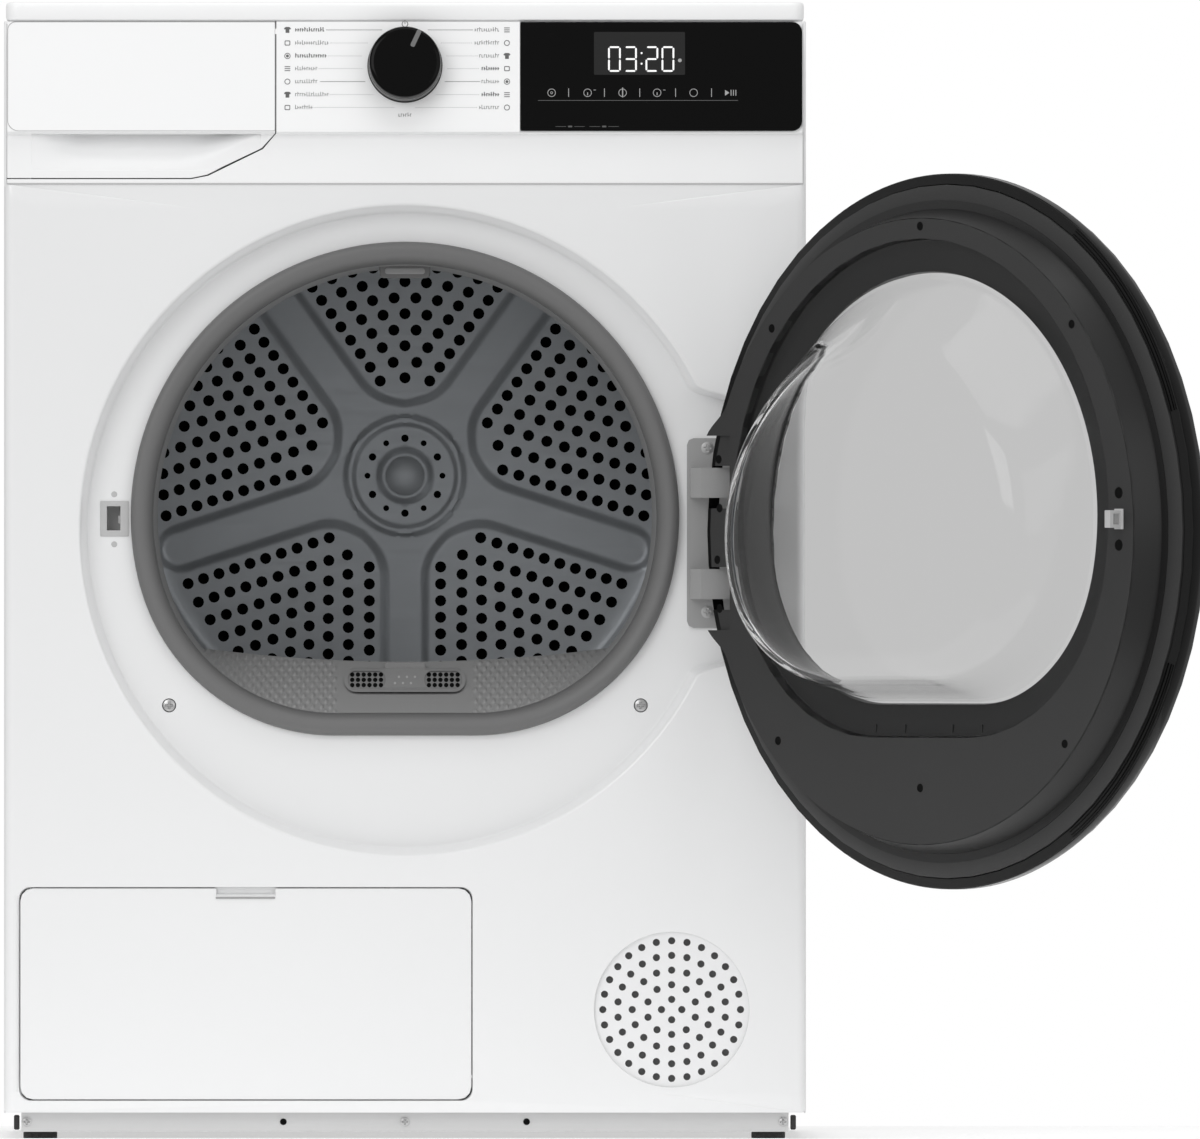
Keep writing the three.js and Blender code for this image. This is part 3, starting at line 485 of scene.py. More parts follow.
@dataclass(frozen=True)
class Finish:
    """A surface finish: a coloured shader whose tone, roughness and height vary with noise in object
    space.
    """

    name: str
    slot: str
    color: tuple[float, float, float]
    roughness: float = 0.4
    metallic: float = 0.0
    coat: float = 0.0
    grain_scale: float = 900.0
    grain: Grain = Grain.EVEN
    bump: float = 0.05
    mottle: float = 0.04
    rough_swing: float = 0.06
    alpha: float = 1.0
    transmission: float = 0.0
    sheen: float = 0.0
    glow: float = 0.0
    specular: float = 0.5
    ior: float = 1.5

    def material(self) -> bpy.types.Material:
        """The finish's material, made on first use.

        Fine noise gives the bump and the roughness. Broad noise shifts the colour by the mottle either way.

        Returns:
            The material.
        """
        found = bpy.data.materials.get(self.name)
        if found:
            return found
        made = bpy.data.materials.new(self.name)
        made.use_nodes = True
        tree = made.node_tree
        shader = tree.nodes["Principled BSDF"]
        where = tree.nodes.new("ShaderNodeTexCoord").outputs["Object"]
        mapping = tree.nodes.new("ShaderNodeMapping")
        mapping.inputs["Scale"].default_value = self.grain.value
        tree.links.new(where, mapping.inputs["Vector"])
        fine = tree.nodes.new("ShaderNodeTexNoise")
        fine.inputs["Scale"].default_value = self.grain_scale
        fine.inputs["Detail"].default_value = 2.0
        tree.links.new(mapping.outputs["Vector"], fine.inputs["Vector"])
        broad = tree.nodes.new("ShaderNodeTexNoise")
        broad.inputs["Scale"].default_value = 9.0
        broad.inputs["Detail"].default_value = 3.0
        tree.links.new(where, broad.inputs["Vector"])
        tint = tree.nodes.new("ShaderNodeMix")
        tint.data_type = "RGBA"
        tint.inputs["A"].default_value = (*(c * (1 - self.mottle) for c in self.color), 1)
        tint.inputs["B"].default_value = (*(min(1, c * (1 + self.mottle)) for c in self.color), 1)
        tree.links.new(broad.outputs["Fac"], tint.inputs["Factor"])
        tree.links.new(tint.outputs["Result"], shader.inputs["Base Color"])
        swing = tree.nodes.new("ShaderNodeMapRange")
        swing.inputs["To Min"].default_value = max(0.02, self.roughness - self.rough_swing)
        swing.inputs["To Max"].default_value = self.roughness + self.rough_swing
        tree.links.new(fine.outputs["Fac"], swing.inputs["Value"])
        tree.links.new(swing.outputs["Result"], shader.inputs["Roughness"])
        bump = tree.nodes.new("ShaderNodeBump")
        bump.inputs["Strength"].default_value = self.bump
        bump.inputs["Distance"].default_value = 0.0004
        tree.links.new(fine.outputs["Fac"], bump.inputs["Height"])
        tree.links.new(bump.outputs["Normal"], shader.inputs["Normal"])
        shader.inputs["Metallic"].default_value = self.metallic
        shader.inputs["Coat Weight"].default_value = self.coat
        shader.inputs["Coat Roughness"].default_value = 0.08
        shader.inputs["Alpha"].default_value = self.alpha
        shader.inputs["Transmission Weight"].default_value = self.transmission
        shader.inputs["Sheen Weight"].default_value = self.sheen
        shader.inputs["Specular IOR Level"].default_value = self.specular
        shader.inputs["IOR"].default_value = self.ior
        if self.glow:
            shader.inputs["Emission Color"].default_value = (*self.color, 1)
            shader.inputs["Emission Strength"].default_value = self.glow
        return made


def grey(level_8bit: float, warm: float = 0.0) -> tuple[float, float, float]:
    """A near-neutral linear colour from a display level of 0 to 255, warm adding red and taking blue."""
    value = ((level_8bit / 255 + 0.055) / 1.055) ** 2.4
    return value * (1 + warm), value, value * (1 - warm)


ENAMEL = Finish("white_enamel", "enamel_white", grey(238, -0.004), 0.28, coat=0.35, grain_scale=30,
                bump=0.004, mottle=0.006, rough_swing=0.008)
WHITE = Finish("white_moulding", "plastic_white", grey(250, -0.003), 0.38, coat=0.1, bump=0.02, mottle=0.006)
GLOSS_BLACK = Finish("gloss_black", "panel_black", grey(9), 0.1, bump=0.01, mottle=0.1, rough_swing=0.02,
                     specular=0.09)
SCREEN = Finish("screen_glow", "panel_black", grey(44), 0.16, bump=0.01, mottle=0.08, rough_swing=0.02,
                specular=0.1)
DARK = Finish("dark_moulding", "dark_plastic", grey(50), 0.46, grain_scale=1500, bump=0.12, mottle=0.06,
              specular=0.32)
# near-black moulding: on the door's step wall and groove the dark colour is painted shade; on the throat, the
# bowl ring and the compressor it is their own colour
STEP_DARK = Finish("shadow_moulding", "dark_plastic", grey(27), 0.34, grain_scale=1500, bump=0.1, mottle=0.06,
                   specular=0.4)
RIM_BLACK = Finish("rim_black", "panel_black", grey(22), 0.3, bump=0.02, mottle=0.08, rough_swing=0.03,
                   specular=0.18)
EDGE_BLACK = Finish("edge_black", "panel_black", grey(12), 0.14, bump=0.02, mottle=0.08, rough_swing=0.03,
                    specular=0.15)
SEAL_GREY = Finish("seal_moulding", "grey_plastic", grey(108), 0.5, grain_scale=1300, bump=0.14, mottle=0.03)
COLLAR_GREY = Finish("collar_moulding", "grey_plastic", grey(150), 0.4, grain_scale=1300, bump=0.08,
                     mottle=0.03)
PALE_GREY = Finish("pale_moulding", "light_grey_plastic", grey(190), 0.42, grain_scale=1200, bump=0.1,
                   mottle=0.03)
PLINTH_GREY = Finish("plinth_moulding", "grey_plastic", grey(206), 0.5, grain_scale=1100, bump=0.14,
                     mottle=0.03)
TANK = Finish("tank_moulding", "tank_plastic", grey(212, -0.01), 0.34, coat=0.1, bump=0.06, mottle=0.02)
MESH_GREY = Finish("lint_mesh", "felt_grey", grey(138), 0.75, grain_scale=2600, bump=0.5, mottle=0.1)
FELT = Finish("felt_strip", "felt_grey", grey(120), 0.95, grain_scale=1800, bump=0.9, mottle=0.14, sheen=0.3)
DRUM = Finish("drum_steel_brushed", "drum_steel", grey(206, -0.05), 0.42, 0.5, grain_scale=700,
              grain=Grain.ALONG_X, bump=0.07, mottle=0.05, rough_swing=0.08)
SHELL = Finish("drum_shell_brushed", "drum_steel", grey(186, -0.01), 0.32, 0.9, grain_scale=600,
               grain=Grain.ALONG_Y, bump=0.08, mottle=0.05, rough_swing=0.08)
PLATED = Finish("zinc_plated", "plated_steel", grey(190), 0.32, 0.85, grain_scale=500, bump=0.06, mottle=0.06)
CAST = Finish("cast_bracket", "light_grey_plastic", grey(165), 0.4, 0.35, grain_scale=800, bump=0.14,
              mottle=0.05)
GALVANISED = Finish("galvanised_sheet", "galvanised_steel", grey(186), 0.42, 0.7, grain_scale=90, bump=0.05,
                    mottle=0.09, rough_swing=0.1)
MOTOR = Finish("cast_aluminium", "motor_aluminium", grey(190), 0.5, 0.8, grain_scale=700, bump=0.3,
               mottle=0.06)
FINS = Finish("exchanger_aluminium", "exchanger_fins", grey(180), 0.45, 0.8, grain_scale=600,
              grain=Grain.ALONG_Z, bump=0.5, mottle=0.08)
RUBBER = Finish("black_rubber_finish", "black_rubber", grey(48), 0.8, grain_scale=1200, bump=0.3, mottle=0.1)
BOARD = Finish("board_laminate", "board_green", (0.03, 0.1, 0.045), 0.45, grain_scale=500, bump=0.2,
               mottle=0.2)
KNOB_BAND = Finish("knob_band_satin", "panel_black", grey(96), 0.35, 0.5, bump=0.04, mottle=0.05)
LEVER_BLUE = Finish("lever_moulding", "lever_blue", (0.05, 0.16, 0.38), 0.4, grain_scale=1200, bump=0.08)
BOWL_GLASS = Finish("bowl_glass", "clear_bowl", grey(252), 0.01, coat=0.25, bump=0.0, mottle=0.002,
                    rough_swing=0.0, transmission=1.0, ior=1.07)
DOOR_GLASS = Finish("door_glass", "smoked_glass", grey(245), 0.01, coat=0.1, bump=0.0, mottle=0.002,
                    rough_swing=0.0, transmission=1.0, ior=1.16)
LAMP_CLEAR = Finish("lamp_lens", "light_grey_plastic", grey(232), 0.2, coat=0.4, bump=0.1, mottle=0.02)
MARK_GREY = Finish("panel_print_grey", "dark_plastic", grey(96), 0.5, grain_scale=1500, bump=0.02,
                   mottle=0.02)
MARK_WHITE = Finish("display_print_white", "plastic_white", grey(225), 0.5, bump=0.02, mottle=0.01, glow=0.5)
MARK_DIM = Finish("display_print_dim", "plastic_white", grey(150), 0.5, bump=0.02, mottle=0.01, glow=0.25)
# near-black: painted shade in the door's screw wells, behind the filter mesh and behind the drum's back wall,
# and also used for the plinth plugs
HOLE_DARK = Finish("hole_shadow", "dark_plastic", grey(10), 0.8, bump=0.1, mottle=0.1, specular=0.1)
# VENT_DARK: painted shade seen through the vent's holes
VENT_DARK = Finish("vent_shadow", "dark_plastic", grey(130), 0.8, bump=0.1, mottle=0.1)
MARK_FAINT = Finish("display_print_faint", "plastic_white", grey(84), 0.5, bump=0.02, mottle=0.01, glow=0.1)
FLOOR = Finish("studio_floor", "plastic_white", grey(252), 0.9, bump=0.0, mottle=0.002, rough_swing=0.02,
               glow=0.3)

NODE_FINISHES: dict[str, Finish] = {
    "left_side_panel": ENAMEL, "right_side_panel": ENAMEL, "worktop": WHITE, "rear_panel": GALVANISED,
    "rear_duct_cover": GALVANISED, "base_frame": PLINTH_GREY, "front_panel": ENAMEL, "control_panel": WHITE,
    "drawer_front": WHITE, "water_tank": TANK, "opening_seal": SEAL_GREY, "front_bulkhead": COLLAR_GREY,
    "lint_filter": MESH_GREY, "drum_lamp_cover": LAMP_CLEAR, "drum_front_felt": FELT, "latch_box": PALE_GREY,
    "latch_catch": PLATED, "drum_shell": SHELL, "drum_rear_wall": DRUM, "drum_lifter_1": PALE_GREY,
    "drum_lifter_2": PALE_GREY, "drum_lifter_3": PALE_GREY, "drum_shaft": PLATED, "rear_bulkhead": GALVANISED,
    "drum_bearing": DARK, "drum_roller_left": RUBBER, "drum_roller_right": RUBBER, "drum_belt": RUBBER,
    "motor_shaft": PLATED, "motor_housing": MOTOR, "idler_pulley": DARK, "idler_arm": PLATED,
    "fan_impeller": DARK, "fan_housing": DARK, "compressor": STEP_DARK, "evaporator": FINS,
    "condenser_coil": FINS, "condensate_pump": DARK, "cable_gland": DARK, "service_flap": ENAMEL,
    "exchanger_cover": PALE_GREY, "cover_lever_left": LEVER_BLUE, "cover_lever_right": LEVER_BLUE,
    "hinge_plate": CAST, "hinge_pin": PLATED, "door_inner_frame": DARK, "door_bowl_ring": STEP_DARK,
    "door_bowl": BOWL_GLASS, "door_outer_ring": RIM_BLACK, "door_outer_glass": DOOR_GLASS,
    "hinge_leaf": PLATED, "door_hook": PALE_GREY, "display_window": GLOSS_BLACK, "control_board": BOARD,
    "selector_switch": DARK, "program_knob": GLOSS_BLACK, "foot_front_left": RUBBER,
    "foot_front_right": RUBBER, "foot_rear_left": RUBBER, "foot_rear_right": RUBBER,
}


# ---- Making pieces ---------------------------------------------------------------------------------
@dataclass
class Maker:
    """Turns shapes into finished pieces that ride on the frame's bodies."""

    datum: Datum
    made: int = 0

    def piece(self, name: str, shape: Shape, finish: Finish, body: str, replaces: Sequence[str] = (),
              flat: bool = False,
              place: Callable[[np.ndarray], np.ndarray] | None = None) -> bpy.types.Object:
        """Makes one piece from a shape.

        Args:
            name: the piece's name.
            shape: its closed shells in cabinet millimetres.
            finish: its surface finish.
            body: the CAD body it moves with.
            replaces: CAD nodes it stands for.
            flat: whether its faces stay flat-shaded.
            place: a last change to the points, in cabinet millimetres.

        Returns:
            The new object, at the origin with its place in its mesh.
        """
        points = np.concatenate(shape.points)
        if place:
            points = place(points)
        points = self.datum.world(points)
        mesh = bpy.data.meshes.new(name)
        sizes = np.concatenate([np.full(len(f), f.shape[1]) for f in shape.faces])
        corners = np.concatenate([f.ravel() for f in shape.faces])
        mesh.vertices.add(len(points))
        mesh.vertices.foreach_set("co", points.astype(np.float32).ravel())
        mesh.loops.add(len(corners))
        mesh.loops.foreach_set("vertex_index", corners.astype(np.int32))
        mesh.polygons.add(len(sizes))
        mesh.polygons.foreach_set("loop_start", np.concatenate([[0], np.cumsum(sizes)[:-1]]).astype(np.int32))
        mesh.update(calc_edges=True)
        mesh.validate()
        self._seal(mesh)
        mesh.polygons.foreach_set("use_smooth", np.full(len(mesh.polygons), not flat))
        if not flat:
            mesh.set_sharp_from_angle(angle=math.radians(34))
        mesh.materials.append(finish.material())
        made = bpy.data.objects.new(name, mesh)
        bpy.context.scene.collection.objects.link(made)
        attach(made, body)
        if replaces:
            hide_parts(*replaces)
        self.made += 1
        log.info("%s: %d triangles on %s", name, int((sizes - 2).sum()), body)
        return made

    @staticmethod
    def _seal(mesh: bpy.types.Mesh) -> None:
        """Joins the seams between a mesh's faces and turns every closed shell's faces outwards.

        Args:
            mesh: the mesh to mend in place.
        """
        work = bmesh.new()
        work.from_mesh(mesh)
        bmesh.ops.remove_doubles(work, verts=work.verts, dist=WELD)
        bmesh.ops.dissolve_degenerate(work, edges=work.edges, dist=WELD)
        bmesh.ops.recalc_face_normals(work, faces=work.faces)
        work.to_mesh(mesh)
        work.free()


def dress_nodes(nodes: dict[str, bpy.types.Object]) -> None:
    """Gives every carried-over CAD node its finish.

    Args:
        nodes: the CAD nodes by name.
    """
    for name, node in nodes.items():
        finish = NODE_FINISHES[name]
        node.data.materials.clear()
        node.data.materials.append(finish.material())


def cross_screw(x: float, y: float, z: float, radius: float = 4.6, rise: float = 2.0) -> Shape:
    """A pan-head screw facing the front: a domed disc with a cross-shaped recess in its crown.

    The head is a grid over angle and radius whose height falls as the square of the radius, less a recess
    where
    either cross arm covers the point.

    Args:
        x: across, of the seat.
        y: depth of the seat.
        z: height of the seat.
        radius: of the head.
        rise: height of the crown over the seat.

    Returns:
        The screw's head.
    """
    shape = Shape()
    count = 32
    reach = np.concatenate([np.linspace(0.0, 0.62, 9), [0.7, 0.8, 0.9, 0.97, 1.0]]) * radius
    angle = np.linspace(0, 2 * np.pi, count, endpoint=False)
    px, pz = reach[:, None] * np.cos(angle), reach[:, None] * np.sin(angle)
    arm = 0.13 * radius
    recess = ((np.abs(px) < arm) | (np.abs(pz) < arm)) & (reach[:, None] < 0.58 * radius)
    crown = rise * (1 - 0.55 * (reach[:, None] / radius) ** 2) + 0 * px
    depth = crown - np.where(recess, 0.55 * rise, 0.0)
    rings = np.stack([x + px, y - depth, z + pz], -1)
    foot = np.stack([x + px[-1], np.full(count, y + 0.4), z + pz[-1]], -1)[None]
    under = np.stack([np.full(count, float(x)), np.full(count, y + 0.4), np.full(count, float(z))], -1)[None]
    return shape.loft(np.concatenate([rings, foot, under]), close=False)


# ---- Cabinet ---------------------------------------------------------------------------------------
class Cabinet:
    """The worktop, and the small parts along the plinth, at the fascia's ends and on the back."""

    def build(self, maker: Maker) -> None:
        """Builds the worktop, the small parts of the plinth and fascia, and the back's screws and ribs.

        Args:
            maker: makes the pieces.
        """
        self._worktop(maker)
        self._plinth_screws(maker)
        self._rear(maker)

    def _worktop(self, maker: Maker) -> None:
        """The worktop: a rounded rectangle in plan whose edge follows a half-round profile.

        Args:
            maker: makes the pieces.
        """
        low, high = (maker.datum.local(v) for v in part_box("worktop"))
        steps = [(3.0, high[2]), (1.2, high[2] - 0.5), (0.3, high[2] - 1.6), (0.0, high[2] - 3.5),
                 (0.0, low[2] + 3.0), (0.4, low[2] + 1.2), (1.6, low[2] + 0.3), (3.0, low[2])]
        rings = []
        for inset, z in steps:
            xy = rounded_box(low[0] + inset, high[0] - inset, low[1] + inset, high[1] - inset, 9 - inset, 8)
            rings.append(np.stack([xy[:, 0], xy[:, 1], np.full(len(xy), z)], 1))
        shape = Shape().loft(np.array(rings), close=False, caps=True)
        maker.piece("worktop_slab", shape, WHITE, "cabinet", ["worktop"])

    def _plinth_screws(self, maker: Maker) -> None:
        """Screws, plugs and corner stops along the plinth, and the fascia's end strips and seam.

        Args:
            maker: makes the pieces.
        """
        low = maker.datum.local(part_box("base_frame")[0])
        shape = Shape()
        for x in (-283.0, 0.0, 283.0):
            shape.merge(cross_screw(x, low[1], 12.5, 3.6, 1.6))
        maker.piece("plinth_screws", shape, PLATED, "cabinet")
        plugs = Shape()
        for x in (-91.0, 91.0):
            plugs.turn([(0, low[1] - 0.6), (2.2, low[1] - 0.6), (2.5, low[1] - 0.3), (2.5, low[1] + 0.3),
                        (0, low[1] + 0.3)], x, 12.5, 24)
        maker.piece("plinth_plugs", plugs, HOLE_DARK, "cabinet")
        stops, ends = Shape(), Shape()
        for side in (-1, 1):
            near, far = sorted((side * 288.4, side * 292.6))
            stops.box((near, low[1] + 1.0, 6.5), (far, low[1] + 12.0, 17.5), 0.8)
            near, far = sorted((side * 297.85, side * 299.6))
            ends.box((near, 3.0, 712.0), (far, 9.0, 836.0), 0.2)
        maker.piece("plinth_corner_stops", stops, RUBBER, "cabinet")
        maker.piece("fascia_end_strips", ends, ENAMEL, "cabinet")
        # grey strip filling the gap under the fascia: partly the seam's own colour, partly painted shade in
        # the gap
        seam = Shape().box((-298.0, -0.3, 713.8), (298.0, 1.0, 714.9), 0.2)
        maker.piece("fascia_seam", seam, PALE_GREY, "cabinet")

    def _rear(self, maker: Maker) -> None:
        """Screws round the rear panel and a louvred patch on the duct cover.

        Args:
            maker: makes the pieces.
        """
        back = maker.datum.local(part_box("rear_panel")[1])[1]
        shape = Shape()
        for x in (-270.0, 270.0):
            for z in (60.0, 250.0, 440.0, 630.0, 800.0):
                shape.merge(cross_screw(-x, -back, z, 4.4, 1.9))
        for x in (-90.0, 90.0):
            shape.merge(cross_screw(-x, -back, 800.0, 4.4, 1.9))
        maker.piece("rear_screws", shape.moved(lambda p: p * [-1, -1, 1]), PLATED, "cabinet")
        cover = maker.datum.local(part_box("rear_duct_cover")[1])[1]
        slats = Shape()
        for row in range(9):
            z = 350.0 + 32.0 * row
            profile = [(cover - 0.2, z - 7), (cover + 3.2, z - 5.4), (cover + 3.6, z - 4.6),
                       (cover - 0.2, z + 7)]
            slats.extrude_x(profile, -120.0, 120.0)
        maker.piece("duct_cover_ribs", slats, GALVANISED, "cabinet")


# ---- Front panel -----------------------------------------------------------------------------------
@dataclass
class FrontPanel:
    """The pressed front sheet with its round recess, hinge pocket, vent and service opening."""

    x: float = 299.0
    foot: float = 19.8
    head: float = 713.9
    recess: PocketedCircle = field(default_factory=lambda: PocketedCircle(455.0, 236.5, 250.0))
    depth: float = 22.0
    flare: float = 9.0
    bend: float = 5.0
    vent_x: float = 199.5
    vent_z: float = 96.5
    vent_radius: float = 58.5
    vent_depth: float = 2.2
    vent_rings: tuple[tuple[float, int], ...] = ((7.6, 4), (18.6, 10), (29.5, 16), (40.5, 22), (51.5, 28))
    vent_hole: float = 2.75
    flap: tuple[float, float, float, float, float] = (-289.0, 51.0, 28.0, 188.5, 9.0)

    def face_y(self, x: np.ndarray) -> np.ndarray:
        """Depth of the outer skin: flat, with its left and right edges rolled back on a 5 mm radius.

        Args:
            x: distances across.

        Returns:
            Depths.
        """
        roll = np.clip(self.bend - (self.x - np.abs(x)), 0, self.bend)
        return self.bend - np.sqrt(self.bend ** 2 - roll ** 2)

    def build(self, maker: Maker) -> None:
        """Builds the pressed panel, the vent, the recess screws and the flap's seat.

        Args:
            maker: makes the pieces.
        """
        self._skin(maker)
        self._vent(maker)
        self._screws(maker)
        self._flap_seat(maker)

    def _flap_seat(self, maker: Maker) -> None:
        """A pale seat behind the service flap's gap: a flat frame, with a shallow pocket under the finger
        notch, and a grey lip whose colour is painted shade along the notch's lower edge.

        Args:
            maker: makes the pieces.
        """
        x0, x1, z0, z1, radius = self.flap
        outer = rounded_box(x0 - 0.1, x1 + 0.1, z0 - 0.1, z1 + 0.1, radius + 0.1, 10)
        inner = rounded_box(x0 + 0.85, x1 - 0.85, z0 + 0.85, z1 - 0.85, radius - 0.4, 10)
        shape = Shape().plate(outer, [inner], level(2.8), level(4.6))
        notch = Shape().box((-143.0, 4.0, z1 - 12.0), (-95.0, 5.8, z1 - 0.4), 0.4)
        maker.piece("flap_seat", shape.merge(notch), ENAMEL, "cabinet")
        # grey lip: its colour is painted shade along the finger notch's lower edge
        lip = Shape().slab(rounded_box(-141.6, -97.0, z1 - 9.1, z1 - 7.6, 0.7, 5), -0.35, 1.4)
        maker.piece("flap_notch_shade_line", lip, CAST, "flap")

    def _skin(self, maker: Maker) -> None:
        """The face, the recess wall as a profile carried round the pocket, its floor, and the folded rim.

        Args:
            maker: makes the pieces.
        """
        outline = rounded_box(-self.x, self.x, self.foot, self.head, 2.0, 4)
        mouth = self.recess(self.flare)
        flap = rounded_box(*self.flap, 10)
        vent = circle(self.vent_x, self.vent_z, self.vent_radius, 96)
        sides = self._edge_columns()
        shape = Shape()
        outer, triangles = triangulate(outline, [mouth, flap, vent], sides)
        y = self.face_y(outer[:, 0])
        shape.add(np.stack([outer[:, 0], y, outer[:, 1]], 1), triangles)
        # Recess wall: a rolled lip of 2.6 mm, a sloping wall, and a small radius on to the floor.
        lip = [(self.flare - 2.6 * math.sin(t), 2.6 - 2.6 * math.cos(t)) for t in np.linspace(0, 1.2, 6)]
        floor = [(2.4, self.depth - 2.4), (1.6, self.depth - 0.9), (0.7, self.depth - 0.2), (0.0, self.depth)]
        wall = [*lip, *floor]
        rings = np.array([self._ring(self.recess(g), y) for g, y in wall])
        shape.add(rings, grid_faces(len(wall), rings.shape[1], False, True))
        inner = self.recess(0.0)
        hole = OPENING(0.9)
        latch = rounded_box(-227.0, -208.0, 452.0, 476.0, 1.0, 3)
        screws = [circle(s * 176.5, 324.0, 5.6, 24) for s in (-1, 1)]
        flat, tri = triangulate(inner, [hole, latch, *screws])
        shape.add(np.stack([flat[:, 0], np.full(len(flat), self.depth), flat[:, 1]], 1), tri)
        for loop, start, end in ((hole, self.depth, self.depth + 1.2), (latch, self.depth, self.depth + 1.2),
                                 (flap, 0.0, 1.2), (vent, 0.0, self.vent_depth), *(
                                     (s, self.depth, self.depth + 1.2) for s in screws)):
            lips = np.array([self._ring(loop, start), self._ring(loop, end)])
            shape.add(lips, grid_faces(2, len(loop), False, True))
        edge = np.array([self._bend(outline, 0.0), self._bend(outline, 12.0)])
        shape.add(edge, grid_faces(2, len(outline), False, True))
        panel = maker.piece("front_panel_pressing", shape, ENAMEL, "cabinet", ["front_panel"])
        thick = panel.modifiers.new("sheet", "SOLIDIFY")
        thick.thickness = 0.9 * MM
        thick.offset = 0.0

    def _edge_columns(self) -> np.ndarray:
        """Extra points beside the rolled left and right edges, so that the roll is smooth.

        Returns:
            The points (N, 2).
        """
        z = np.linspace(self.foot + 2, self.head - 2, 60)
        x = self.x - np.array([0.6, 1.4, 2.4, 3.6, 5.0, 6.5, 10.0])
        grid = np.stack(np.meshgrid(x, z), -1).reshape(-1, 2)
        field_x, field_z = np.arange(-270.0, 271.0, 30.0), np.arange(35.0, self.head - 5, 30.0)
        field_points = np.stack(np.meshgrid(field_x, field_z), -1).reshape(-1, 2)
        return np.concatenate([grid, grid * [-1, 1], field_points])

    @staticmethod
    def _ring(loop: np.ndarray, y: float) -> np.ndarray:
        """A loop in x and z set at depth y."""
        return np.stack([loop[:, 0], np.full(len(loop), y), loop[:, 1]], 1)

    def _bend(self, loop: np.ndarray, back: float) -> np.ndarray:
        """A loop on the rolled face, moved back by a distance."""
        return np.stack([loop[:, 0], self.face_y(loop[:, 0]) + back, loop[:, 1]], 1)

    def _vent(self, maker: Maker) -> None:
        """The round vent: a disc set back in the face, perforated on five rings, over a grey disc of painted
        shade seen through the holes.

        Args:
            maker: makes the pieces.
        """
        holes = [circle(self.vent_x + r * math.cos(a), self.vent_z + r * math.sin(a), self.vent_hole, 12)
                 for r, n in self.vent_rings for a in 2 * np.pi * np.arange(n) / n + np.pi / 2]
        disc = circle(self.vent_x, self.vent_z, self.vent_radius + 0.6, 96)
        shape = Shape().plate(disc, holes, level(self.vent_depth), level(self.vent_depth + 1.2))
        maker.piece("vent_disc", shape, ENAMEL, "cabinet")
        # the grey disc behind the holes is painted shade, the dark inside seen through the vent
        back = Shape().turn([(0, 7.0), (self.vent_radius, 7.0), (self.vent_radius, 8.0), (0, 8.0)],
                            self.vent_x, self.vent_z, 64)
        maker.piece("vent_shade_disc", back, VENT_DARK, "cabinet")

    def _screws(self, maker: Maker) -> None:
        """Two countersunk screws low in the recess, in pressed dimples, and two pins by the latch.

        Args:
            maker: makes the pieces.
        """
        shape = Shape()
        for side in (-1, 1):
            shape.merge(cross_screw(side * 176.5, self.depth + 1.5, 324.0, 4.6, 1.6))
        maker.piece("recess_screws", shape, PLATED, "cabinet")
        pins = Shape()
        for z in (482.0, 444.6):
            pins.turn([(0, self.depth - 0.8), (1.8, self.depth - 0.7), (2.3, self.depth - 0.3),
                       (2.4, self.depth + 0.5), (0, self.depth + 0.5)], -217.6, z, 20)
        maker.piece("latch_pins", pins, PALE_GREY, "cabinet")


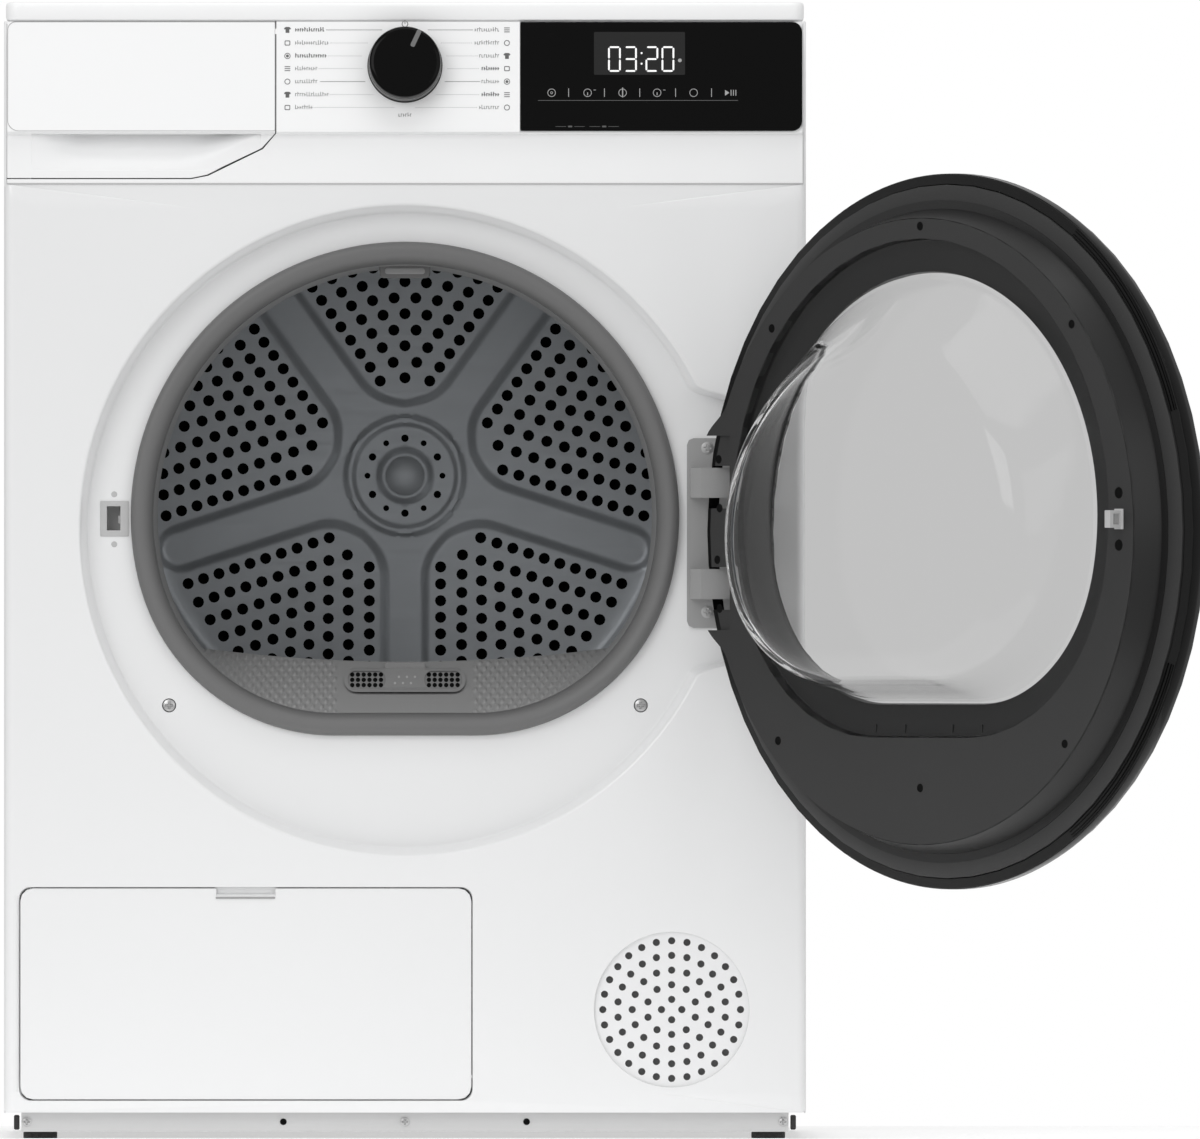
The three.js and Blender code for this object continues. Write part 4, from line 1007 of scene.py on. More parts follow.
# ---- Control panel ---------------------------------------------------------------------------------
@dataclass
class ControlPanel:
    """The sloping fascia with its drawer front, programme marks, knob and gloss display."""

    foot_y: float = -8.0
    foot_z: float = 753.0
    slope: float = math.radians(8.02)
    knob_height: float = 50.0
    scoop: tuple[float, float, float, float] = (-279.6, -107.6, 723.4, 753.6)
    display: tuple[float, float, float, float] = (86.4, 297.0, 0.8, 83.2)
    rows: tuple[float, ...] = (77.1, 67.2, 57.4, 47.8, 38.0, 28.1, 18.4)
    keys: tuple[float, ...] = (109.7, 136.6, 162.8, 188.6, 215.9, 243.0)

    def place(self, points: np.ndarray) -> np.ndarray:
        """Fascia coordinates (x, depth, height up the slope) as cabinet coordinates, by the slope's rotation.

        Args:
            points: points (N, 3) on the fascia.

        Returns:
            The points in the cabinet.
        """
        c, s = math.cos(self.slope), math.sin(self.slope)
        y = self.foot_y + points[:, 2] * s + points[:, 1] * c
        z = self.foot_z + points[:, 2] * c - points[:, 1] * s
        return np.stack([points[:, 0], y, z], 1)

    def build(self, maker: Maker) -> None:
        """Builds the display, its readout, the printed marks, the knob, the drawer's scoop, and a line of
        painted shade round the drawer front.

        Args:
            maker: makes the pieces.
        """
        self._display(maker)
        self._readout(maker)
        self._marks(maker)
        self._knob(maker)
        self._scoop(maker)
        self._drawer_gap_shade(maker)

    @staticmethod
    def _edge_loop(grow: float) -> np.ndarray:
        """The drawer front's outline on the fascia moved out by grow: two round corners on its free side.

        Args:
            grow: distance outwards.

        Returns:
            The loop (N, 2).
        """
        x0, x1, h0, h1 = -297.1 - grow, -97.2 + grow, 0.8 - grow, 83.2 + grow
        return np.concatenate([arc(x1 - 1, h1 - 1, 1, 0, 90, 4), arc(x0 + 6, h1 - 6, 6, 90, 180, 10),
                               arc(x0 + 8, h0 + 8, 8, 180, 270, 10), arc(x1 - 1, h0 + 1, 1, 270, 360, 4)])

    def _drawer_gap_shade(self, maker: Maker) -> None:
        """A fine grey line of painted shade round the drawer front, in its gap to the fascia."""
        # grey line drawn on the face: painted shade in the gap round the drawer front
        line = Shape().plate(self._edge_loop(0.25), [self._edge_loop(-0.25)], level(-0.12), level(0.2))
        maker.piece("drawer_gap_shade_line", line, PALE_GREY, "water_drawer", place=self.place)

    def _scoop(self, maker: Maker) -> None:
        """The drawer's finger scoop: depth grows as height to the power 1.6, and dies away at both ends.

        Args:
            maker: makes the pieces.
        """
        x0, x1, z0, z1 = self.scoop
        deep = 22.0
        gx, gz = np.meshgrid(np.linspace(x0 + 1.5, x1 - 1.5, 110), np.linspace(z0 + 1.2, z1 - 1.0, 26))

        def dish(x: np.ndarray, z: np.ndarray) -> np.ndarray:
            """Depth of the dish at x and z."""
            t = np.clip((z - z0) / (z1 - z0), 0, 1)
            ends = smooth(0.0, 42.0, x - x0) * smooth(0.0, 38.0, x1 + 4 - 1.9 * (z1 - z) - x)
            return 0.3 + deep * ends * t ** 1.6

        extra = np.stack([gx, gz], -1).reshape(-1, 2)
        outline = np.array([[x0, z0], [x1 - 36.4, z0], [x1 - 0.6, 740.4], [x1, 741.2], [x1, z1], [x0, z1]])
        maker.piece("drawer_scoop", Shape().plate(outline, [], dish, level(24.0), extra), WHITE,
                    "water_drawer")

    def _display(self, maker: Maker) -> None:
        """The gloss black window with wide right-hand corners, and the lighter screen behind it.

        Args:
            maker: makes the pieces.
        """
        x0, x1, h0, h1 = self.display
        outline = np.concatenate([arc(x1 - 7.5, h1 - 7.5, 7.5, 0, 90, 10), arc(x0 + 1, h1 - 1, 1, 90, 180, 4),
                                  arc(x0 + 1, h0 + 1, 1, 180, 270, 4),
                                  arc(x1 - 7.5, h0 + 7.5, 7.5, 270, 360, 10)])
        glass = Shape().slab(outline, -0.25, 1.7, 0.25)
        maker.piece("display_glass", glass, GLOSS_BLACK, "cabinet", ["display_window"], place=self.place)
        screen = Shape().slab(rounded_box(141.4, 209.5, 43.1, 75.5, 0.8, 3), -0.34, -0.2)
        maker.piece("display_screen", screen, SCREEN, "cabinet", place=self.place)

    def _digit(self, shape: Shape, x: float, h: float, lit: str) -> None:
        """One seven-segment figure: each lit letter a to g adds a bar with pointed ends.

        Args:
            shape: takes the bars.
            x: left side.
            h: foot, up the slope.
            lit: letters of the lit bars.
        """
        wide, tall, bar = 8.2, 18.0, 1.3
        half = tall / 2
        bars = {"a": ((0, tall), (wide, tall)), "b": ((wide, tall), (wide, half)),
                "c": ((wide, half), (wide, 0)), "d": ((0, 0), (wide, 0)), "e": ((0, half), (0, 0)),
                "f": ((0, tall), (0, half)), "g": ((0, half), (wide, half))}
        for key in lit:
            start, end = (np.array(p, float) for p in bars[key])
            along = (end - start) / np.linalg.norm(end - start)
            across = np.array([-along[1], along[0]]) * bar / 2
            start, end = start + along * 0.35, end - along * 0.35
            loop = np.array([start, start + along * bar / 2 - across, end - along * bar / 2 - across, end,
                             end - along * bar / 2 + across, start + along * bar / 2 + across])
            shape.slab(loop + [x, h], *FIGURE)

    def _readout(self, maker: Maker) -> None:
        """Four figures of remaining time with a colon and a dot.

        Args:
            maker: makes the pieces.
        """
        shape = Shape()
        for x, lit in ((152.6, "abcdef"), (164.6, "abcdg"), (180.6, "abdeg"), (192.6, "abcdef")):
            self._digit(shape, x, 46.0, lit)
        for h in (51.5, 59.5):
            shape.slab(circle(177.0, h, 0.75, 12), *FIGURE)
        marks_dot = Shape().slab(circle(205.6, 54.0, 1.4, 16), *FIGURE)
        maker.piece("display_dot", marks_dot, MARK_DIM, "cabinet", place=self.place)
        maker.piece("display_figures", shape, MARK_WHITE, "cabinet", place=self.place)
        marks = Shape()
        for x in self.keys[:-1]:
            self._ring(marks, x, 29.5, 3.1, 0.45, *GUIDE)
        self._ring(marks, self.keys[0], 29.5, 1.0, 0.4, *GUIDE)
        for x in (self.keys[1], self.keys[3]):
            marks.slab(rounded_box(x - 0.3, x + 0.3, 27.6, 29.8, 0.1, 2), *GUIDE)
            marks.slab(rounded_box(x + 4.4, x + 6.2, 31.4, 31.8, 0.1, 2), *GUIDE)
        marks.slab(rounded_box(self.keys[2] - 0.4, self.keys[2] + 0.4, 26.0, 33.4, 0.1, 2), *GUIDE)
        last = self.keys[-1]
        marks.slab(np.array([[last - 3.6, 27.3], [last - 0.4, 29.5], [last - 3.6, 31.7]]), *GUIDE)
        for x in (0.6, 2.4, 4.2):
            marks.slab(rounded_box(last + x, last + x + 0.6, 27.3, 31.7, 0.1, 2), *GUIDE)
        for x in (122.4, 149.2, 175.6, 202.4, 229.3):
            marks.slab(rounded_box(x - 0.25, x + 0.25, 26.4, 32.8, 0.1, 2), *GUIDE)
        maker.piece("display_keys", marks, MARK_DIM, "cabinet", place=self.place)
        faint = Shape().slab(rounded_box(99.5, 249.1, 23.5, 23.9, 0.1, 2), *GUIDE)
        for x in (123.5, 149.0):
            faint.slab(rounded_box(x - 1.6, x + 1.6, 3.4, 4.6, 0.3, 2), *GUIDE)
            for side in (-1, 1):
                faint.slab(rounded_box(x + side * 7 - 4, x + side * 7 + 4, 3.8, 4.1, 0.1, 2), *GUIDE)
        maker.piece("display_guides", faint, MARK_FAINT, "cabinet", place=self.place)

    @staticmethod
    def _ring(shape: Shape, x: float, h: float, radius: float, line: float, front: float,
              back: float) -> None:
        """A flat ring drawn with a line of the given width: a rectangle turned about its middle."""
        shape.turn([(radius, front), (radius, back), (radius - line, back), (radius - line, front)], x, h, 24)

    def _marks(self, maker: Maker) -> None:
        """Programme marks on both sides of the knob: a symbol, dashes in place of words, and a leader line.

        Args:
            maker: makes the pieces.
        """
        shape = Shape()
        front, back = PRINTED
        rng = np.random.default_rng(7)
        lengths = rng.uniform(13.0, 26.0, 14)
        for i, h in enumerate(self.rows):
            for side, symbol, length in ((-1, -87.9, lengths[i]), (1, 76.3, lengths[i + 7] * 0.75)):
                self._symbol(shape, symbol, h, i + (3 if side > 0 else 0))
                heavy = 0.7 if i in (0, 2, 3, 5) and (side < 0) == (i in (0, 2)) else 0.4
                start = symbol - side * 5.6
                self._word(shape, start, -side, length, h, heavy, rng)
                reach = math.sqrt(max(32.0 ** 2 - min(31.9, abs(h - self.knob_height)) ** 2, 0.0))
                inner = side * max(reach, 8.0)
                tip = start - side * (length + 2.0)
                low, high = sorted((inner, tip))
                if i in (0, 4):
                    shape.slab(rounded_box(low, high, h - 0.16, h + 0.16, 0.1, 2), front, back)
                else:
                    for at in np.arange(low, high - 0.6, 1.5):
                        shape.slab(rounded_box(at, at + 0.62, h - 0.16, h + 0.16, 0.1, 2), front, back)
        self._power_symbol(shape, 0.0, 81.6)
        self._word(shape, -5.0, 1, 10.0, 12.6, 0.4, rng)
        maker.piece("programme_marks", shape, MARK_GREY, "cabinet", place=self.place)

    @staticmethod
    def _word(shape: Shape, start: float, way: int, length: float, h: float, stroke: float,
              rng: np.random.Generator) -> None:
        """A row of plain strokes in place of a word: uprights of two heights, each with one cross stroke.

        Args:
            shape: takes the strokes.
            start: where the row begins.
            way: 1 to run right, -1 to run left.
            length: of the row.
            h: height of its middle up the slope.
            stroke: width of a stroke.
            rng: picks the heights.
        """
        foot, tall, pitch = h - 1.15, 2.3, 1.7
        for at in np.arange(0.0, length, pitch):
            x = start + way * (at + pitch / 2)
            rise = tall + (0.9 if rng.random() < 0.25 else 0.0)
            shape.slab(rounded_box(x - 0.6, x - 0.6 + stroke, foot, foot + rise, 0.1, 2), *PRINTED)
            level_z = foot + float(rng.choice([0.0, 0.9, tall - stroke]))
            shape.slab(rounded_box(x - 0.6, x + 0.6, level_z, level_z + stroke, 0.1, 2), *PRINTED)

    def _symbol(self, shape: Shape, x: float, h: float, kind: int) -> None:
        """A small generic programme symbol: ring, square, dot, garment or bars by turns.

        Args:
            shape: takes the symbol.
            x: distance of the middle from the middle plane.
            h: height of the middle up the slope.
            kind: counts through the five symbols.
        """
        front, back = PRINTED
        kind %= 5
        if kind == 0:
            shirt = np.array([[-2.6, 1.2], [-1.3, 2.2], [1.3, 2.2], [2.6, 1.2], [2.0, 0.2], [1.4, 0.6],
                              [1.4, -2.2], [-1.4, -2.2], [-1.4, 0.6], [-2.0, 0.2]])
            shape.plate(shirt[::-1] + [x, h], [], level(front), level(back))
        elif kind == 1:
            shape.plate(rounded_box(x - 2.1, x + 2.1, h - 1.9, h + 1.9, 0.7, 3),
                        [rounded_box(x - 1.5, x + 1.5, h - 1.3, h + 1.3, 0.4, 3)], level(front), level(back))
        elif kind == 2:
            self._ring(shape, x, h, 2.3, 0.5, front, back)
            shape.slab(circle(x, h, 1.1, 12), front, back)
        elif kind == 3:
            for lift in (-1.5, 0.0, 1.5):
                shape.slab(rounded_box(x - 2.1, x + 2.1, h + lift - 0.3, h + lift + 0.3, 0.1, 2), front, back)
        else:
            self._ring(shape, x, h, 2.2, 0.55, front, back)

    @staticmethod
    def _power_symbol(shape: Shape, x: float, h: float) -> None:
        """A broken ring with a bar through its gap.

        Args:
            shape: takes the symbol.
            x: distance of the middle from the middle plane.
            h: height of the middle up the slope.
        """
        outer, inner = arc(x, h, 2.4, 120, 420, 24), arc(x, h, 1.9, 420, 120, 24)
        shape.plate(np.concatenate([outer, inner]), [], level(PRINTED[0]), level(PRINTED[1]))
        shape.slab(rounded_box(x - 0.25, x + 0.25, h + 0.2, h + 2.9, 0.1, 2), *PRINTED)

    def _knob(self, maker: Maker) -> None:
        """The knob: a turned black cap with a fine crown edge, a satin grey band, a base ring and a pointer.

        Args:
            maker: makes the pieces.
        """
        h = self.knob_height
        cap = [(0, -21.6), (23.0, -21.6), (25.2, -21.3), (26.4, -20.5), (26.9, -19.0), (27.1, -14.0),
               (27.1, -13.6), (27.0, -6.2), (0, -6.2)]
        maker.piece("knob_cap", Shape().turn(cap, 0, h, 96), GLOSS_BLACK, "knob", ["program_knob"],
                    place=self.place)
        band = [(27.1, -13.2), (27.4, -12.8), (27.5, -3.2), (27.3, -2.6), (24.0, -2.6), (24.0, -13.2)]
        maker.piece("knob_band", Shape().turn(band, 0, h, 96), KNOB_BAND, "knob", place=self.place)
        base = [(27.8, -2.2), (28.1, -1.8), (28.1, -0.1), (22.0, -0.1), (22.0, -2.2)]
        maker.piece("knob_base_ring", Shape().turn(base, 0, h, 96), RIM_BLACK, "cabinet", place=self.place)
        lean = math.radians(25)
        bar = rounded_box(-1.7, 1.7, 12.5, 26.3, 1.2, 4)
        turned = np.stack([bar[:, 0] * math.cos(lean) + bar[:, 1] * math.sin(lean),
                           -bar[:, 0] * math.sin(lean) + bar[:, 1] * math.cos(lean) + h], 1)
        pointer = Shape().slab(turned, -21.75, -20.5)
        maker.piece("knob_pointer", pointer, SEAL_GREY, "knob", place=self.place)


# ---- Loading mouth ---------------------------------------------------------------------------------
@dataclass
class Mouth:
    """The rounded seal, the collar behind it, and the lint shelf with its dimples and filter windows."""

    seal_front: float = 12.6
    shelf_front: float = 30.0
    shelf_back: float = 121.0
    shelf_half: float = 156.0
    inner: float = -16.2
    dimple_pitch: float = 6.6
    dimple_radius: float = 2.0
    dimple_height: float = 1.9
    filter_half: float = 46.0

    def build(self, maker: Maker) -> None:
        """Builds the seal, the collar lining, the lint shelf, the filter's windows and the lamp.

        Args:
            maker: makes the pieces.
        """
        face = self.seal_front
        seal = [(0.55, face + 21), (0.5, face + 5), (-0.4, face + 2.4), (-2.2, face + 0.7), (-4.6, face),
                (-7.4, face + 0.4), (-10.4, face + 1.9), (-13.2, face + 4.6), (-15.2, face + 8.4),
                (-16.0, face + 13), (-16.2, face + 18), (-13.0, face + 19), (-6.0, face + 21)]
        maker.piece("mouth_seal", Shape().sweep(OPENING, seal), SEAL_GREY, "cabinet", ["opening_seal"])
        collar = [(-16.4, face + 17), (-17.2, 60), (-18.6, 90), (-19.4, 97.5), (-15.4, 97.5), (-14.4, 60),
                  (-14.4, face + 19)]
        maker.piece("mouth_collar", Shape().sweep(OPENING, collar), COLLAR_GREY, "cabinet")
        self._shelf(maker)
        self._windows(maker)
        self._lamp(maker)

    @staticmethod
    def _lamp(maker: Maker) -> None:
        """The drum lamp: a rounded housing under the collar's top with a paler lens set in its face.

        Args:
            maker: makes the pieces.
        """
        case = Shape().slab(rounded_box(-19.0, 19.0, 644.0, 656.0, 3.5, 6), 58.0, 84.0, 1.2)
        maker.piece("lamp_case", case, SEAL_GREY, "cabinet", ["drum_lamp_cover"])
        lens = Shape().slab(rounded_box(-15.0, 15.0, 647.0, 651.6, 1.8, 6), 57.6, 60.0, 0.5)
        maker.piece("lamp_lens", lens, COLLAR_GREY, "cabinet")

    def _foot(self, x: np.ndarray) -> np.ndarray:
        """Height of the collar's foot at x: level in the middle and an arc at each corner.

        Args:
            x: distances across.

        Returns:
            Heights.
        """
        radius = OPENING.corner + self.inner
        off = np.clip(np.abs(x) - OPENING.corner_x, 0, radius - 1)
        return OPENING.z - OPENING.corner_drop - np.sqrt(radius ** 2 - off ** 2)

    @staticmethod
    def _head(x: np.ndarray) -> np.ndarray:
        """Height of the shelf's back edge at x, rising as the square of x."""
        return 356.5 + 10.0 * (x / 150.0) ** 2

    def _dimples(self, x: np.ndarray, s: np.ndarray) -> np.ndarray:
        """Dome height at shelf coordinates: a staggered lattice of round bumps, none under the filter.

        Args:
            x: distances across.
            s: heights on the shelf.

        Returns:
            Heights of the domes over the shelf.
        """
        pitch = self.dimple_pitch
        row = np.round(s / (pitch * 0.62))
        ds = s - row * pitch * 0.62
        shifted = x - np.where(row % 2 == 0, 0.0, pitch / 2)
        dx = shifted - np.round(shifted / pitch) * pitch
        reach = np.hypot(dx, ds) / self.dimple_radius
        dome = self.dimple_height * np.clip(1 - reach ** 2, 0, 1) ** 0.75
        clear = smooth(self.filter_half + 4, self.filter_half + 7, np.abs(x))
        return dome * clear

    def _shelf(self, maker: Maker) -> None:
        """The shelf: a ruled surface from the collar's foot up to the back edge, bumps added along its
        normal.

        Args:
            maker: makes the pieces.
        """
        x = np.linspace(-self.shelf_half, self.shelf_half, 420)
        t = np.linspace(0, 1, 74)
        gx, gt = np.meshgrid(x, t)
        low = self._foot(gx) - 0.4
        high = np.maximum(self._head(gx), low + 0.5)
        y = self.shelf_front + (self.shelf_back - self.shelf_front) * gt
        z = low + (high - low) * gt
        edge = smooth(0.0, 0.06, gt) * smooth(1.0, 0.94, gt) * smooth(0.5, 5.0, high - low)
        rise = self._dimples(gx, z * 1.0) * edge
        top = np.stack([gx, y - rise * 0.9, z + rise * 0.45], -1)
        under = np.stack([gx, y + 1.5, z - 1.5], -1)
        rows, cols = gx.shape
        shape = Shape().add(np.array([top, under]).reshape(-1, 3),
                            np.concatenate([grid_faces(rows, cols, False, False),
                                            grid_faces(rows, cols, False, False) + rows * cols]))
        rim = np.concatenate([np.arange(cols), np.arange(1, rows) * cols + cols - 1,
                              (rows - 1) * cols + np.arange(cols - 2, -1, -1),
                              np.arange(rows - 2, 0, -1) * cols])
        after = np.roll(rim, -1)
        walls = np.stack([rim, after, after + rows * cols, rim + rows * cols], 1)
        shape.faces.append(walls)
        maker.piece("lint_shelf", shape, COLLAR_GREY, "cabinet")

    def _slope(self, lift: float) -> Height:
        """Depth of the shelf's plane at a height z, brought forward by lift.

        Args:
            lift: distance forward of the plane.

        Returns:
            A function of x and z.
        """
        low, high = float(self._foot(np.zeros(1))[0]), 356.5
        run = self.shelf_back - self.shelf_front
        return lambda x, z: self.shelf_front + run * (z - low) / (high - low) - lift

    def _windows(self, maker: Maker) -> None:
        """The filter's face: a round-ended frame on the slope with a plain tab and two fine-meshed windows,
        over a dark plate of painted shade.

        Args:
            maker: makes the pieces.
        """
        outer = rounded_box(-45.5, 45.5, 334.0, 352.0, 8.9, 10)
        openings = [rounded_box(-43.0, -14.5, 336.4, 349.6, 6.0, 8),
                    rounded_box(14.5, 43.0, 336.4, 349.6, 6.0, 8)]
        frame = Shape().plate(outer, openings, self._slope(5.2), self._slope(1.0))
        maker.piece("filter_frame", frame, COLLAR_GREY, "filter")
        mesh = Shape()
        for side in (-1, 1):
            sheet = rounded_box(side * 28.75 - 14.4, side * 28.75 + 14.4, 336.2, 349.8, 6.0, 8)
            col, row = np.meshgrid(np.arange(6), np.arange(3))
            x = side * 28.75 + (col - 2.5) * 4.3
            z = 343.0 + (row - 1) * 3.9
            holes = [circle(a, b, 1.75, 8) for a, b in zip(x.ravel(), z.ravel())]
            mesh.plate(sheet, holes, self._slope(3.2), self._slope(2.2))
        maker.piece("filter_mesh", mesh, MESH_GREY, "filter")
        # a dark plate behind the mesh: painted shade in the filter's windows
        dark = Shape().plate(rounded_box(-44.0, 44.0, 335.4, 350.6, 7.4, 8), [], self._slope(1.6),
                             self._slope(0.8))
        maker.piece("filter_window_shade", dark, HOLE_DARK, "filter")
        tab = Shape()
        for row in range(2):
            for col in range(3):
                lift = self._slope(5.6)
                loop = circle((col - 1) * 6.0 + (row - 0.5) * 3.0, 340.6 + row * 4.6, 0.9, 10)
                tab.plate(loop, [], lift, self._slope(4.8))
        maker.piece("filter_tab_pips", tab, PALE_GREY, "filter")


# ---- Drum ------------------------------------------------------------------------------------------
@dataclass
class Drum:
    """The stainless drum: a beaded shell and a pressed, perforated rear wall with five channels."""

    z: float = 496.8
    radius: float = 285.0
    front: float = 64.0
    back: float = 536.0
    field_y: float = 527.6
    drop: float = 3.2
    spokes: tuple[float, ...] = (270.0, 342.0, 54.0, 126.0, 198.0)
    channel: float = 11.5
    bevel: float = 7.5
    hub: float = 50.0
    channel_end: float = 191.0
    first_row: float = 74.2
    row_step: float = 12.15
    rows: int = 10
    hole: float = 4.3
    hub_holes: float = 28.4
    bead_radius: float = 199.0

    def build(self, maker: Maker) -> None:
        """Builds the shell and the rear wall."""
        self._shell(maker)
        self._wall(maker)

    def _shell(self, maker: Maker) -> None:
        """The shell: a straight wall with rolled lips and three beads, turned about the drum's axis.

        Args:
            maker: makes the pieces.
        """
        y = np.concatenate([np.linspace(self.front + 2, self.back - 8, 120)])
        bead = sum(2.2 * np.exp(-((y - at) / 5.0) ** 2) for at in (190.0, 300.0, 410.0))
        out = [(self.radius + 0.2, self.front)] + [(self.radius + 1.2 - b, d) for b, d in zip(bead, y)]
        inner = [(self.radius - b, d) for b, d in zip(bead, y)][::-1]
        profile = [*out, *inner, (self.radius - 0.6, self.front)]
        maker.piece("drum_skin", Shape().turn(profile, 0, self.z, 144), SHELL, "drum", ["drum_shell"])

    def _spoke_distance(self, x: np.ndarray, z: np.ndarray) -> np.ndarray:
        """Distance outside the nearest channel, whose round end lies at channel_end.

        Args:
            x: distances across.
            z: heights.

        Returns:
            Distances, negative inside a channel.
        """
        best = np.full(x.shape, 1e3)
        for degrees in self.spokes:
            c, s = math.cos(math.radians(degrees)), math.sin(math.radians(degrees))
            along, across = x * c + z * s, -x * s + z * c
            past = np.maximum(along - (self.channel_end - self.channel), 0)
            off = np.where(along > 0, np.hypot(past, across), np.hypot(along, across))
            best = np.minimum(best, off - self.channel)
        return best

    def _outside_channels(self, x: np.ndarray, z: np.ndarray) -> np.ndarray:
        """Distance outside the pressed star: channels and hub joined with a soft corner.

        Args:
            x: distances across.
            z: heights.

        Returns:
            Distances, negative inside the star.
        """
        a, b = self._spoke_distance(x, z), np.hypot(x, z) - self.hub
        soft = 26.0
        mix = np.clip(0.5 + 0.5 * (b - a) / soft, 0, 1)
        return b + (a - b) * mix - soft * mix * (1 - mix)

    def surface(self, x: np.ndarray, z: np.ndarray) -> np.ndarray:
        """Depth of the wall's face: the field, lowered in the star by a smooth step, with the hub's raised
        rings.

        Args:
            x: distances across.
            z: heights.

        Returns:
            Depths.
        """
        z = z - self.z
        off = self._outside_channels(x, z)
        y = self.field_y + self.drop * (1 - smooth(0.0, self.bevel, off))
        r = np.hypot(x, z)
        y -= 1.6 * (smooth(46, 43.6, r) - smooth(40, 37.4, r))
        y -= 2.4 * smooth(21.5, 17.5, r) - 1.5 * smooth(15.0, 12.0, r)
        y += 1.5 * np.exp(-((r - 272.0) / 5.0) ** 2)
        y -= 0.7 * np.exp(-((r - self.bead_radius) / 2.6) ** 2) * smooth(2.0, 9.0, off)
        return y

    def _holes(self) -> list[np.ndarray]:
        """Ten rows of holes in each sector, three in the first and one more in each next, and twelve in the
        hub.

        Returns:
            One loop (N, 2) for each hole.
        """
        loops = []
        for degrees in self.spokes:
            middle = math.radians(degrees + 36)
            for k in range(self.rows):
                r = self.first_row + self.row_step * k
                span = math.radians(36) - math.asin(27.0 / r)
                for a in middle + np.linspace(-span, span, 3 + k):
                    loops.append(circle(r * math.cos(a), self.z + r * math.sin(a), self.hole, 12))
        for i in range(12):
            a = math.radians(90 + 30 * i)
            size = 2.9 if i % 2 == 0 else 2.3
            loops.append(circle(self.hub_holes * math.cos(a), self.z + self.hub_holes * math.sin(a), size,
                                10))
        return loops

    def _scatter(self, holes: list[np.ndarray]) -> np.ndarray:
        """Points for the triangles: a hexagonal grid, twice as fine near a bevel or ring, none close to a
        hole.

        Args:
            holes: the loops to stay clear of.

        Returns:
            The points (N, 2).
        """
        coarse, fine = self._lattice(6.4), self._lattice(2.1)
        points = np.concatenate([coarse[~self._busy(coarse)], fine[self._busy(fine)]])
        middles = np.array([h.mean(0) for h in holes]) - [0, self.z]
        keep = np.ones(len(points), bool)
        for start in range(0, len(points), 4000):
            part = points[start:start + 4000]
            gap = np.hypot(*(part[:, None] - middles[None]).transpose(2, 0, 1)).min(1)
            keep[start:start + 4000] = gap > self.hole + 0.9
        return points[keep] + [0, self.z]

    def _busy(self, points: np.ndarray) -> np.ndarray:
        """Which points lie in the areas that need fine triangles: the bevels, the hub and the round bead.

        Args:
            points: points (N, 2) about the drum's axis.

        Returns:
            A truth value for each point.
        """
        off = np.abs(self._outside_channels(points[:, 0], points[:, 1]) - self.bevel / 2)
        r = np.hypot(points[:, 0], points[:, 1])
        return ((off < 5.4) & (r < 232)) | (r < self.hub) | (np.abs(r - self.bead_radius) < 5)

    def _lattice(self, pitch: float) -> np.ndarray:
        """A hexagonal grid of points inside the wall's rim.

        Args:
            pitch: distance between neighbours.

        Returns:
            The points (N, 2) about the drum's axis.
        """
        n = int(self.radius / (pitch * 0.866)) + 2
        row, col = np.meshgrid(np.arange(-n, n + 1), np.arange(-n, n + 1), indexing="ij")
        points = np.stack([(col + (row % 2) / 2) * pitch, row * pitch * 0.866], -1).reshape(-1, 2)
        return points[np.hypot(points[:, 0], points[:, 1]) < self.radius - 3.2]

    def _wall(self, maker: Maker) -> None:
        """The rear wall: a thin plate between the pressed surface and its copy 1.2 mm behind.

        Args:
            maker: makes the pieces.
        """
        holes = self._holes()
        rim = circle(0, self.z, self.radius - 0.6, 144)
        back: Height = lambda x, z: self.surface(x, z) + 1.2
        shape = Shape().plate(rim, holes, self.surface, back, self._scatter(holes))
        maker.piece("drum_back_pressing", shape, DRUM, "drum", ["drum_rear_wall"])
        front = maker.datum.local(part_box("drum_shaft")[0])[1]
        cap = [(0, front - 1.2), (15.0, front - 1.2), (16.2, front - 0.4), (18.2, front - 0.4),
               (19.6, front + 0.4), (20.0, front + 2.5), (0, front + 2.5)]
        maker.piece("drum_hub_cap", Shape().turn(cap, 0, self.z, 64), DRUM, "drum")
        dark = Shape().turn([(0, 537.6), (268, 537.6), (268, 538.4), (0, 538.4)], 0, self.z, 96)
        maker.piece("drum_back_shade", dark, HOLE_DARK, "drum")


